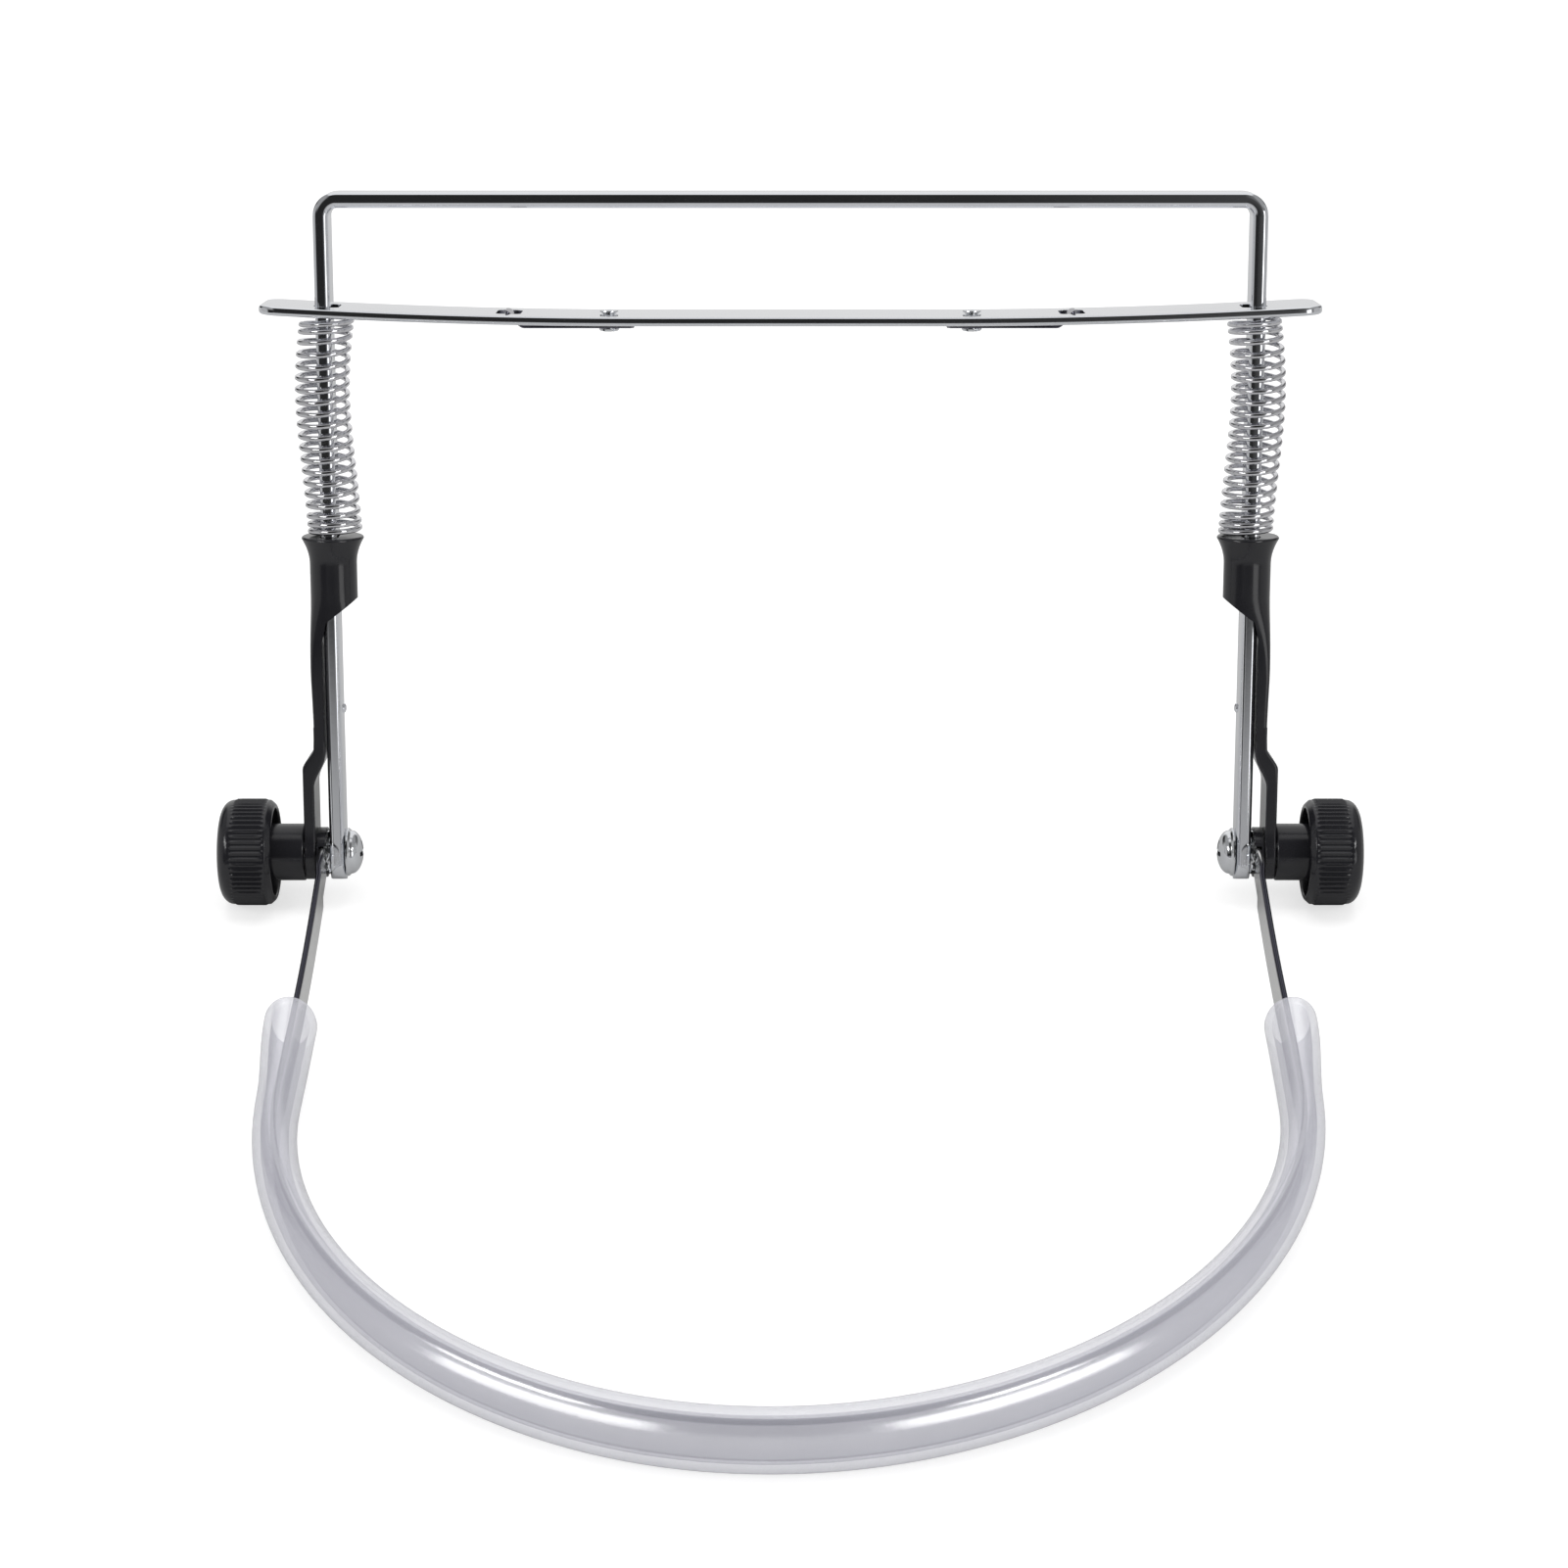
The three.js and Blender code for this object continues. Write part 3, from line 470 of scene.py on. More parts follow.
# %% Sizes of the bail
bar_thick, bar_depth, bar_edge = 3.3, 7.8, 1.2
leg_centre, bail_height, bail_tail, bend_radius = 97.6, 141.4, 5.9, 3.4
leg_in, leg_out = leg_centre - bar_thick / 2, leg_centre + bar_thick / 2
bar_line = bail_height - bar_thick / 2
leg_stops, crossbar_stops = (30, 60, 90, 120), (-60, -20, 20, 60)
foot_steps, bend_steps = 8, 12
pin_hole, overrun = 2.2, 3
print("legs from", leg_in, "to", leg_out, "mm")


# %% Places along the bail
def bar_place(x, z, angle, depth=1.0):
    turn = Matrix.Rotation(angle, 4, "Y")
    return Matrix.Translation((x, 0, z)) @ turn @ Matrix.Diagonal((1, depth, 1, 1))


def foot_stops():
    """Heights up the half round of a leg's foot, and the share of the bar's depth there."""
    half, least_share = bar_depth / 2, 0.08
    stops = []
    for step in range(foot_steps + 1):
        a = math.pi / 2 * (1 - step / foot_steps)
        stops.append((half - bail_tail - half * math.sin(a), max(math.cos(a), least_share)))
    return stops


def bend_places(side):
    """From the left leg into the crossbar, or out of it into the right leg."""
    places = []
    for step in range(bend_steps + 1):
        a = math.pi / 2 * (step / bend_steps + (side > 0))
        x = side * (leg_centre - bend_radius * (1 + side * math.cos(a)))
        places.append(bar_place(x, bar_line - bend_radius * (1 - math.sin(a)), a))
    return places


def bail_places():
    foot = foot_stops()
    places = [bar_place(-leg_centre, z, 0, depth) for z, depth in foot]
    places += [bar_place(-leg_centre, z, 0) for z in leg_stops]
    places += bend_places(-1)
    places += [bar_place(x, bar_line, math.pi / 2) for x in crossbar_stops]
    places += bend_places(1)
    places += [bar_place(leg_centre, z, math.pi) for z in reversed(leg_stops)]
    places += [bar_place(leg_centre, z, math.pi, depth) for z, depth in reversed(foot)]
    return places


# %% Sweep the bail and bore its feet
def drill(start, end):
    """A plain pin along the pivots' line, to bore the pivot holes with."""
    return spun([(0, start), (pin_hole, start), (pin_hole, end), (0, end)], 48)


bail = sweep(rounded_box(bar_thick, bar_depth, bar_edge, 8), bail_places())
bail = combined(bail, drill(-leg_out - overrun, leg_out + overrun))
print("bail faces before the pips:", len(bail.faces))

# %% [markdown]
# A small pip is pressed out of each leg's inner face. It is a flattened ball sunk
# halfway into the leg and joined to it, so that its foot meets the face cleanly.

# %% Join the pips and set the bail
pip_radius, pip_squash, pip_sunk, pip_back, pip_height = 1.1, 0.6, 0.1, 1.9, 31.4
for side in (-1, 1):
    pip = bmesh.new()
    bmesh.ops.create_uvsphere(pip, u_segments=24, v_segments=12, radius=pip_radius)
    bmesh.ops.scale(pip, vec=(pip_squash, 1, 1), verts=pip.verts[:])
    bail = combined(bail, moved(pip, side * (leg_in + pip_sunk), pip_back, pip_height), "UNION")
bail_piece = make_piece("dressed_clamp_bail", bail, clamp_place, chrome, "arm_frame")

# %% [markdown]
# ## Tray
# The lower jaw is a stamped plate with round corners, slots for the legs, windows
# for the leaf springs and a hole for each rivet. Its rim is rounded first, because
# a bevel made after the cuts is held back by their short edges. Then it is cut
# while flat, sliced across so that it can bend, bowed up towards both ends, and at
# last the edges of the cuts get a slight break of their own.

# %% Cut the flat plate
tray_half, tray_depth, tray_thick, tray_height = 110.6, 19.0, 1.9, 116.1
tray_corner, rim_round, cut_break = 4.2, 0.7, 0.15
slot_length, slot_depth, slot_gap = 5.2, 8.4, 0.3
window_length, window_depth, window_centre = 5.2, 9.2, 58.9
rivet_hole, rivet_centre = 1.55, 38.0
cutter = 9
slot_centre = leg_out + slot_gap - slot_length / 2

tray = prism(rounded_box(2 * tray_half, tray_depth, tray_corner, 8), tray_thick)
soften(tray, 55, rim_round, 5)
cuts = (
    (rounded_box(slot_length, slot_depth, 1.5), slot_centre),
    (rounded_box(window_length, window_depth, 1.3), window_centre),
    (round_points(rivet_hole, 32), rivet_centre),
)
for side in (-1, 1):
    for outline, centre in cuts:
        tray = combined(tray, moved(prism(outline, cutter), side * centre))
print("tray faces while flat:", len(tray.faces))

# %% Slice, bow and soften the plate
tray_flat, tray_rise, slice_width = 60, 2.4, 5.0


def tray_bow(x):
    """How far the tray stands above its flat middle."""
    run = max(abs(x) - tray_flat / 2, 0)
    return tray_rise * (run / (tray_half - tray_flat / 2)) ** 2


slices = int(tray_half / slice_width)
for step in range(-slices, slices + 1):
    geometry = tray.verts[:] + tray.edges[:] + tray.faces[:]
    bmesh.ops.bisect_plane(
        tray, geom=geometry, dist=weld, plane_co=(step * slice_width, 0, 0), plane_no=(1, 0, 0)
    )
for vert in tray.verts:
    vert.co.z += tray_height - tray_thick / 2 + tray_bow(vert.co.x)
soften(tray, 55, cut_break, 2)
tray_piece = make_piece("dressed_tray_plate", tray, clamp_place, chrome, "tray")

# %% [markdown]
# ## Leaf springs
# A thin leaf lies under the tray at each end and turns up through its window, to
# press on the instrument. It is swept along its own bend, which rises like an
# eased step, so that it leaves the flat stretch and meets its tip without a kink.

# %% The leaf's own bend
leaf_thick, leaf_width, leaf_edge, leaf_gap = 0.6, 7.4, 0.15, 0.3
leaf_level = tray_height - tray_thick - leaf_gap - leaf_thick / 2
leaf_rise = tray_height + leaf_thick - leaf_level
flat_stops, ramp_start, ramp_length, ramp_steps = (32.7, 33.4, 45, 54), 55.6, 4.0, 12


def ease(value, start, end):
    """From 0 at the start to 1 at the end, with no kink at either."""
    t = min(max((value - start) / (end - start), 0), 1)
    return t * t * (3 - 2 * t)


def heading(line, at):
    before, after = line[max(at - 1, 0)], line[min(at + 1, len(line) - 1)]
    return math.atan2(after[1] - before[1], after[0] - before[0])


def leaf_places():
    line = [(x, leaf_level) for x in flat_stops]
    for step in range(ramp_steps + 1):
        x = ramp_start + ramp_length * step / ramp_steps
        line.append((x, leaf_level + leaf_rise * ease(step, 0, ramp_steps)))
    width_shares = [0.72, 1] + [1] * (len(line) - 4) + [0.9, 0.68]
    places = []
    for at, (x, z) in enumerate(line):
        turn = Matrix.Rotation(math.pi / 2 - heading(line, at), 4, "Y")
        places.append(Matrix.Translation((x, 0, z)) @ turn @ Matrix.Diagonal((1, width_shares[at], 1, 1)))
    return places


# %% Sweep the leaf springs
def leaf_mesh():
    leaf = sweep(rounded_box(leaf_thick, leaf_width, leaf_edge, 2), leaf_places())
    hole = prism(round_points(rivet_hole, 32), cutter / 2)
    return combined(leaf, moved(hole, rivet_centre, 0, leaf_level))


make_pair("leaf_spring", leaf_mesh, blued_steel, "leaf_{}")

# %% [markdown]
# ## Rivets
# A hollow rivet holds each leaf. Its head is rolled over above the tray and its
# tail is split into six petals below the leaf, as a riveting tool leaves them. One
# spun profile gives both, bore included, and six narrow prisms cut the tail.

# %% Spin and split the rivets
rivet_bore, rivet_radius, rivet_head, rivet_tail = 0.8, 1.25, 2.0, 2.1
rivet_petals, petal_slit, slit_length, slit_height = 6, 0.45, 2.2, 1.3


def rivet_mesh():
    under, top = tray_height + leaf_gap, leaf_level - leaf_thick / 2 - leaf_gap
    # Radius and height, up the outside from the tail's bore to the head's and back down inside.
    profile = [
        (rivet_bore, top - 0.55), (1.3, top - 0.62), (1.85, top - 0.5), (rivet_tail, top - 0.25),
        (rivet_tail, top - 0.05), (1.8, top), (rivet_radius, top),
        (rivet_radius, under), (1.9, under), (rivet_head, under + 0.12), (1.95, under + 0.3),
        (1.6, under + 0.4), (1.2, under + 0.34), (0.9, under + 0.15),
        (rivet_bore, under - 0.2), (rivet_bore, top - 0.55),
    ]
    bm = turned(spun(profile, 48), -math.pi / 2, "Y")
    for petal in range(rivet_petals):
        slit = prism(rounded_box(slit_length, petal_slit, 0.1, 2), slit_height)
        moved(slit, rivet_tail + 0.3, 0, top - 0.35)
        bm = combined(bm, turned(slit, math.tau * petal / rivet_petals, "Z"))
    return moved(bm, rivet_centre)


make_pair("leaf_rivet", rivet_mesh, zinc, "tray")

# %% [markdown]
# ## Coil springs
# Each leg passes through a spring of twenty curls that pushes the tray up. Loose
# on the leg, it bows outwards at its middle, and its open curls tip a little
# between the closed ones at its ends. The wire's place follows from the number of
# curls.

# %% Heights of the wire
wire, coil_radius, curls, close_curls, close_pitch = 1.15, 5.25, 20, 2, 1.5
collar_top, coil_gap, curl_steps = 69.1, 0.1, 28
coil_low = collar_top + coil_gap + wire / 2
coil_high = tray_height - tray_thick + tray_bow(leg_centre - coil_radius) - coil_gap - wire / 2
open_pitch = (coil_high - coil_low - 2 * close_curls * close_pitch) / (curls - 2 * close_curls)


def coil_height(turn):
    close_turns = min(turn, close_curls) + max(turn - (curls - close_curls), 0)
    return coil_low + close_turns * close_pitch + (turn - close_turns) * open_pitch


print("open pitch:", round(open_pitch, 2), "mm")

# %% Wind the wire
bow_out, bow_skew, foot_in, head_in, curl_tip = 1.4, 0.35, 1.05, 0.40, 0.14


def coil_bow(share):
    """How far the coil's axis stands outside the leg's, from the foot to the head."""
    ends = foot_in + (head_in - foot_in) * share
    return bow_out * math.sin(math.pi * share) - bow_skew * math.sin(math.tau * share) - ends


def coil_places(side):
    places = []
    for step in range(curls * curl_steps + 1):
        turn = step / curl_steps
        z = coil_height(turn)
        share = (z - coil_low) / (coil_high - coil_low)
        a = (turn + 0.25) * math.tau
        outward = Vector((math.cos(a), math.sin(a), 0))
        lead = (coil_height(min(turn + 0.1, curls)) - z) / 0.1 / math.tau
        tip = curl_tip * ease(share, 0.04, 0.2) * ease(1 - share, 0.04, 0.2)
        middle = Vector((side * (leg_centre + coil_bow(share)), 0, z)) + outward * coil_radius
        middle.z += tip * outward.y * coil_radius
        rise = lead / coil_radius + tip * math.cos(a)
        tangent = Vector((-math.sin(a), math.cos(a), rise)).normalized()
        across = tangent.cross(outward).normalized()
        frame_turn = Matrix((outward, across, tangent)).transposed().to_4x4()
        places.append(Matrix.Translation(middle) @ frame_turn)
    return places


for hand, side in hands:
    coil = sweep(round_points(wire / 2, 10), coil_places(side))
    soften(coil, 60, 0.15, 2)
    spring = make_piece("dressed_coil_spring_" + hand, coil, clamp_place, spring_steel, weighted=False)
    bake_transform(spring)

# %% [markdown]
# ## Arms
# Each arm is a moulded shell: a round flared collar at the top carries the spring,
# a slanting cut frees the leg's inner side, and a flat bar steps outwards round the
# strip to an eye at the pivot. The column is a swept loop whose shape changes from
# nearly square to round, and cuts with plain prisms leave crisp moulded edges.

# %% Places of the arm and of what it clamps
seat_gap, washer_thick, disc_floor = 0.2, 0.35, 0.4
strip_thick, arm_thick, arm_depth = 1.2, 2.4, 5.2
column_foot, square_top, waist_foot, column_half, waist_gain = 26.0, 38.0, 56.5, 4.25, 0.75
rim_edge, flare_length, rim_flare, collar_shift = 0.5, 5.4, 1.6, 0.45
flare_top = collar_top - rim_edge
disc_in = leg_out + seat_gap + washer_thick + seat_gap
arm_in = disc_in + strip_thick + seat_gap + disc_floor + seat_gap
arm_out = arm_in + arm_thick
upper_in, upper_out = leg_out + seat_gap, leg_centre + column_half
print("arm's eye from", round(arm_in, 2), "to", round(arm_out, 2), "mm")


# %% The column, from square foot to flared collar
square_power, round_power, power_bend, waist_trim = 12, 2, 0.6, 0.2
column_sunk, column_step = 0.6, 2.5


def column_form(z):
    """Half width, half depth, power and shift of the column at a height."""
    share = ease(z, square_top, waist_foot)
    flare = min(max((z - flare_top + flare_length) / flare_length, 0), 1)
    over = max(z - flare_top, 0) / rim_edge
    out = rim_flare * flare ** 2 - rim_edge * (1 - math.sqrt(max(1 - over * over, 0)))
    width = column_half + waist_gain * ease(z, column_foot, waist_foot)
    power = square_power - (square_power - round_power) * share ** power_bend
    return width + out, arm_depth - waist_trim * share + out, power, collar_shift * share


def column_mesh():
    heights = [column_foot - column_sunk] + [column_foot + column_step * step for step in range(15)]
    heights += [flare_top + flare_length * (step / 12 - 1) for step in range(13)]
    heights += [flare_top + rim_edge * math.sin(math.pi / 2 * step / 5) for step in range(1, 6)]
    bm = sweep(round_points(1, 72), [Matrix.Translation((0, 0, z)) for z in heights])
    for vert in bm.verts:
        width, depth, power, shift = column_form(vert.co.z)
        x, y = (math.copysign(abs(c) ** (2 / power), c) for c in vert.co.xy)
        vert.co.x, vert.co.y = leg_centre - shift + width * x, depth * y
    return bm


print("collar radius:", round(column_form(flare_top)[0], 2), "mm")

# %% The flat bar with its joggle and eye
eye_radius, eye_top, bar_round, least_depth = 5.9, 2.79, 0.45, 0.35
joggle_in_foot, joggle_in_top = 15.2, 22.4
joggle_out_foot, joggle_out_top = 19.2, 24.0
lower_stops, joggle_stops, upper_stops = (0.9, 1.9, eye_top, 6, 10, 14), (15.0, 23.4, 14), (26, 28.4)


def bar_form(z):
    """Inner face, outer face and half depth of the arm's bar at a height."""
    inner = upper_in + (arm_in - upper_in) * (1 - ease(z, joggle_in_foot, joggle_in_top))
    outer = upper_out + (arm_out - upper_out) * (1 - ease(z, joggle_out_foot, joggle_out_top))
    depth = math.sqrt(max(eye_radius ** 2 - z * z, 0)) if z < eye_top else arm_depth
    return inner, outer, max(depth, least_depth)


def bar_mesh():
    heights = [-eye_radius * math.cos(math.pi / 2 * step / 12) for step in range(13)]
    start, end, count = joggle_stops
    heights += [*lower_stops, *(start + (end - start) * step / count for step in range(count + 1))]
    heights += upper_stops
    places = []
    for z in heights:
        inner, outer, depth = bar_form(z)
        scale = Matrix.Diagonal(((outer - inner) / arm_thick, depth / arm_depth, 1, 1))
        places.append(Matrix.Translation(((inner + outer) / 2, 0, z)) @ scale)
    return sweep(rounded_box(arm_thick, 2 * arm_depth, bar_round, 4), places)


# %% Cut the column, join the bar and bore the eye
cut_top, cut_knee, cut_foot, cut_top_in, cut_knee_out, cut_span = 55.8, 51.1, 46.9, 5.35, 0.9, 16
leg_room, room_corner, room_length, room_middle = 0.6, 1.5, 26, 58.5


def arm_mesh():
    inside, below = leg_centre - 9, column_foot - 6
    cut = [
        (inside, cut_top), (leg_centre - cut_top_in, cut_top), (leg_centre + cut_knee_out, cut_knee),
        (upper_in, cut_foot), (upper_in, below), (inside, below),
    ]
    column = combined(column_mesh(), prism(cut, cut_span, "Y"))
    room = prism(rounded_box(bar_thick + leg_room, bar_depth + leg_room, room_corner), room_length)
    column = combined(column, moved(room, leg_centre, 0, room_middle))
    arm = combined(column, bar_mesh(), "UNION")
    return combined(arm, drill(arm_in - overrun, arm_out + overrun))


make_pair("arm", arm_mesh, black_plastic, "arm_frame", sharp=32)

# %% [markdown]
# ## Pivot screws
# A zinc screw with a domed head and a cross recess comes from the inside of each
# leg. Its dome is a quarter of an ellipse spun round the screw's own line, a thin
# flange stands round its foot, and two crossed bars with narrow round ends cut the
# recess.

# %% Spin the screws and cut the recess
pin_radius, screw_length, screw_chamfer = 1.95, 8.6, 0.5
head_radius, head_height, head_wall, dome_radius, dome_lift, dome_steps = 5.2, 3.4, 0.7, 4.7, 0.2, 16
recess_length, recess_width, recess_reach = 5.2, 1.0, 3.8


def screw_mesh():
    base, tip = leg_in - seat_gap, arm_out + screw_length
    flange, dome_foot = base - head_wall, base - head_wall - dome_lift
    dome_height = head_height - head_wall - dome_lift
    line = []
    for step in range(dome_steps + 1):
        a = math.pi / 2 * step / dome_steps
        line.append((dome_radius * math.sin(a), dome_foot - dome_height * math.cos(a)))
    line += [(dome_radius + 0.05, flange - 0.1), (head_radius - 0.3, flange), (head_radius, flange + 0.3)]
    line += [(head_radius, base - 0.15), (head_radius - 0.15, base), (pin_radius, base)]
    line += [(pin_radius, tip - screw_chamfer), (pin_radius - screw_chamfer, tip), (0, tip)]
    bm = spun(line, 72)
    for size in ((recess_length, recess_width), (recess_width, recess_length)):
        bar = prism(rounded_box(*size, 0.3, 3), recess_reach, "X")
        bm = combined(bm, moved(bar, base - head_height))
    return bm


make_pair("pivot_screw", screw_mesh, zinc, "arm_frame", sharp=35)

# %% [markdown]
# ## Knobs
# The knobs are turned by hand, so 60 fine ribs run along the rim between two
# smooth lips. The whole knob is one spun profile with a hub and a hollow back. The
# ribs are then raised by moving the rim's points outwards along a wave.

# %% The knob's profile
ribs, rib_root, lip_radius, hub_radius, hub_bore = 60, 11.2, 11.3, 6.15, 3.4
hub_length, hub_depth, back_hollow, back_lip, rib_length, front_lip = 6.6, 9.8, 5.6, 1.5, 7.3, 2.9
face_flat, shell_in, shell_out, lip_round = 7.6, 9.5, 10.3, 0.45
hub_face = arm_out + seat_gap
knob_back = hub_face + hub_length
rib_start, rib_end = knob_back + back_lip, knob_back + back_lip + rib_length


def knob_profile():
    floor, lip, front = knob_back + back_hollow, rib_end + 0.1, rib_end + front_lip
    back = [
        (0, hub_face + hub_depth), (hub_bore, hub_face + hub_depth), (hub_bore, hub_face),
        (hub_radius, hub_face), (hub_radius, floor), (shell_in - 0.1, floor), (shell_in, knob_back),
        (shell_out, knob_back),
        (lip_radius, knob_back + 1.1), (lip_radius, rib_start - 0.05),
    ]
    line = rounded_line(back, lip_round)
    line += [(rib_root, rib_start + 0.2)]
    line += [(rib_root, rib_start + 0.7 + 1.2 * step) for step in range(6)]
    line += [(rib_root, rib_end - 0.2), (lip_radius, rib_end + 0.05)]
    for step in range(1, 9):
        a = math.pi / 2 * step / 8
        radius = face_flat + (lip_radius - face_flat) * math.cos(a)
        line.append((radius, lip + (front - lip) * math.sin(a)))
    return line + [(4, front), (0, front)]


# %% Spin the knobs and raise their ribs
rib_points, rib_run, end_share = 6, 0.6, 0.35


def knob_mesh():
    bm = spun(knob_profile(), ribs * rib_points)
    for vert in bm.verts:
        x, y, z = vert.co
        radius = math.hypot(y, z)
        if abs(radius - rib_root) < 1e-3 and rib_start < x < rib_end:
            wave = 0.5 + 0.5 * math.cos(ribs * (math.atan2(z, y) + math.pi / 2))
            start, end = rib_start + 0.1, rib_end - 0.1
            full = ease(x, start, start + rib_run) * ease(end - x, 0, rib_run)
            scale = (rib_root + (knob_radius - rib_root) * wave ** 2 * max(full, end_share)) / radius
            vert.co = (x, y * scale, z * scale)
    return bm


make_pair("knob", knob_mesh, black_plastic, "clamp_knob_{}", sharp=50, weighted=False)

# %% [markdown]
# ## Neck strip and sleeve
# A flat steel strip runs from pivot to pivot round the neck. Its sides lean in a
# little and one even bend joins them, but the worn strip has slackened on its
# right-hand side and stands inside that bend. The same line, started further out,
# carries the oval sleeve, whose wall is given by the solidify operator.

# %% The line round the neck
neck_pivot, neck_radius, neck_dip, neck_slack = disc_in + strip_thick / 2, 99.7, 0.65, 3.2
neck_centre = neck_reach - neck_radius
slack_start, slack_run, bend_points = -0.3, 2.3, 96
end_widening, end_shift = 0.24, 1.0


def side_point(y):
    """X of the strip's middle line at a distance from the pivots."""
    share = min(max(y / neck_centre, 0), 1)
    return neck_pivot + (neck_radius - neck_pivot) * share - neck_dip * math.sin(math.pi * share)


def slack(a):
    """How far the worn strip stands inside an even bend, on its right-hand side."""
    share = (a - slack_start) / slack_run
    return neck_slack * math.sin(math.pi * share) ** 2 if 0 < share < 1 else 0


def neck_line(start, side_step=4.0):
    count = max(int((neck_centre - start) / side_step), 2)
    steps = [start + (neck_centre - start) * k / count for k in range(count)]
    right = [(side_point(y) - slack((y - neck_centre) / neck_radius), -y) for y in steps]
    bend = []
    for step in range(bend_points + 1):
        a = math.pi * step / bend_points
        radius = neck_radius - slack(a)
        bend.append((radius * math.cos(a), -neck_centre - radius * math.sin(a)))
    return right + bend + [(-side_point(y), -y) for y in reversed(steps)]


def neck_places(line, widths=None, flares=None):
    """Places along the line, some wider across it, some flared and further out."""
    places = []
    for at, (x, y) in enumerate(line):
        before, after = line[max(at - 1, 0)], line[min(at + 1, len(line) - 1)]
        tangent = Vector((after[0] - before[0], after[1] - before[1], 0)).normalized()
        outward = Vector((-tangent.y, tangent.x, 0))
        frame_turn = Matrix((outward, tangent.cross(outward), tangent)).transposed().to_4x4()
        flare = flares[at] if flares else 0
        scale = Matrix.Diagonal((1 + end_widening * flare, widths[at] if widths else 1, 1, 1))
        middle = Vector((x, y, 0)) + outward * end_shift * flare
        places.append(Matrix.Translation(middle) @ frame_turn @ scale)
    return places


print("points round the neck:", len(neck_line(0)))

# %% [markdown]
# The strip is widest in the loop and tapers to a round eye at each pivot. Its
# rounded edges get painted shade, a near-black tone standing in for the dark they
# mirror, so the section has extra points where the flat ends, and an attribute
# marks what lies beyond them for the finish to darken.

# %% Sweep the strip
strip_width, strip_eye, strip_taper, strip_edge, flat_edge = 9.0, 3.1, 12.0, 0.55, 3.6
taper_start, painted_shade_from, painted_shade_over, painted_shade_start = 0.8, 0.82, 0.05, 8


def strip_half(y):
    """Half the strip's width at a distance from the pivots, eye included."""
    if y < taper_start:
        return math.sqrt(max(strip_eye ** 2 - min(y, 0) ** 2, 0.02))
    share = min((y - taper_start) / (strip_taper - taper_start), 1)
    return strip_eye + (strip_width / 2 - strip_eye) * share


eye = [-strip_eye * math.cos(math.pi / 2 * step / 8) for step in range(8)]
tips = [(neck_pivot, -y) for y in eye + [0, 1, 4, 8, strip_taper]]
strip_line = tips + neck_line(strip_taper + 4) + [(-x, y) for x, y in reversed(tips)]
width_shares = [strip_half(-y) / (strip_width / 2) for x, y in strip_line]
corners, flat = rounded_box(strip_thick, strip_width, strip_edge, 5), strip_thick / 2
half_round = len(corners) // 2
strip_section = corners[:half_round] + [(-flat, flat_edge), (-flat, -flat_edge)]
strip_section += corners[half_round:] + [(flat, -flat_edge), (flat, flat_edge)]
strip = sweep(strip_section, neck_places(strip_line, width_shares))
strip = combined(strip, drill(-arm_in - overrun, arm_in + overrun))
# This attribute marks where painted shade goes on the strip's rounded edges.
painted_edge_shade = strip.verts.layers.float.new("painted_edge_shade")
for vert in strip.verts:
    reach = abs(vert.co.z) / strip_half(-vert.co.y)
    vert[painted_edge_shade] = min(max((reach - painted_shade_from) / painted_shade_over, 0), 1) if -vert.co.y > painted_shade_start else 0
make_piece("dressed_neck_band", strip, neck_place, bare_steel, "yoke")

# %% [markdown]
# The sleeve is an oval tube that has widened at both ends, where it was pushed on.
# It is swept without caps and given its wall afterwards, so that its ends are open
# and the strip can be seen going in.

# %% Sweep the sleeve and give it a wall
sleeve_start, sleeve_flare, sleeve_wall, sleeve_edge = 66, 30, 1.6, 0.4
sleeve_line = neck_line(sleeve_start, side_step=2.0)
flares = [1 - ease(-y, sleeve_start, sleeve_start + sleeve_flare) for x, y in sleeve_line]
oval = round_points(sleeve_width / 2, 40, sleeve_height / sleeve_width)
sleeve = sweep(oval, neck_places(sleeve_line, flares=flares), capped=False)
print("sleeve outside faces:", len(sleeve.faces))
geometry = sleeve.verts[:] + sleeve.edges[:] + sleeve.faces[:]
bmesh.ops.solidify(sleeve, geom=geometry, thickness=sleeve_wall)
soften(sleeve, 60, sleeve_edge, 3)
sleeve_piece = make_piece("dressed_neck_sleeve", sleeve, neck_place, soft_sleeve, "yoke", weighted=False)

# %% [markdown]
# ## Toothed washers
# Between each leg and the strip sits a lock washer, whose twisted teeth bite both
# sides. A flat ring is spun, every second pair of its outer faces is pushed out as
# a tooth, and each tooth's tip is turned about its own line.

# %% Spin the washers and twist their teeth
washer_bore, washer_root, tooth_length, washer_teeth, tooth_twist = 2.3, 3.75, 1.1, 12, 24
washer_slack = 0.04


def washer_mesh():
    inner = leg_out + seat_gap + washer_slack
    outer = leg_out + seat_gap + washer_thick - washer_slack
    section = [(washer_bore, inner), (washer_root, inner), (washer_root, outer), (washer_bore, outer)]
    bm = spun(section + section[:1], 4 * washer_teeth)
    rim = [f for f in bm.faces if min(math.hypot(v.co.y, v.co.z) for v in f.verts) > washer_root - 0.05]
    rim.sort(key=lambda f: math.atan2(f.calc_center_median().z, f.calc_center_median().y))
    for tooth in range(washer_teeth):
        pair = rim[4 * tooth:4 * tooth + 2]
        middle = sum((f.calc_center_median() for f in pair), Vector()) / 2
        out = Vector((0, middle.y, middle.z)).normalized()
        made = bmesh.ops.extrude_face_region(bm, geom=pair)["geom"]
        bmesh.ops.delete(bm, geom=pair, context="FACES_ONLY")
        tip = [g for g in made if isinstance(g, bmesh.types.BMVert)]
        bmesh.ops.translate(bm, vec=out * tooth_length, verts=tip)
        twist = Matrix.Rotation(math.radians(tooth_twist), 3, out)
        bmesh.ops.rotate(bm, cent=middle, matrix=twist, verts=tip)
    return bm


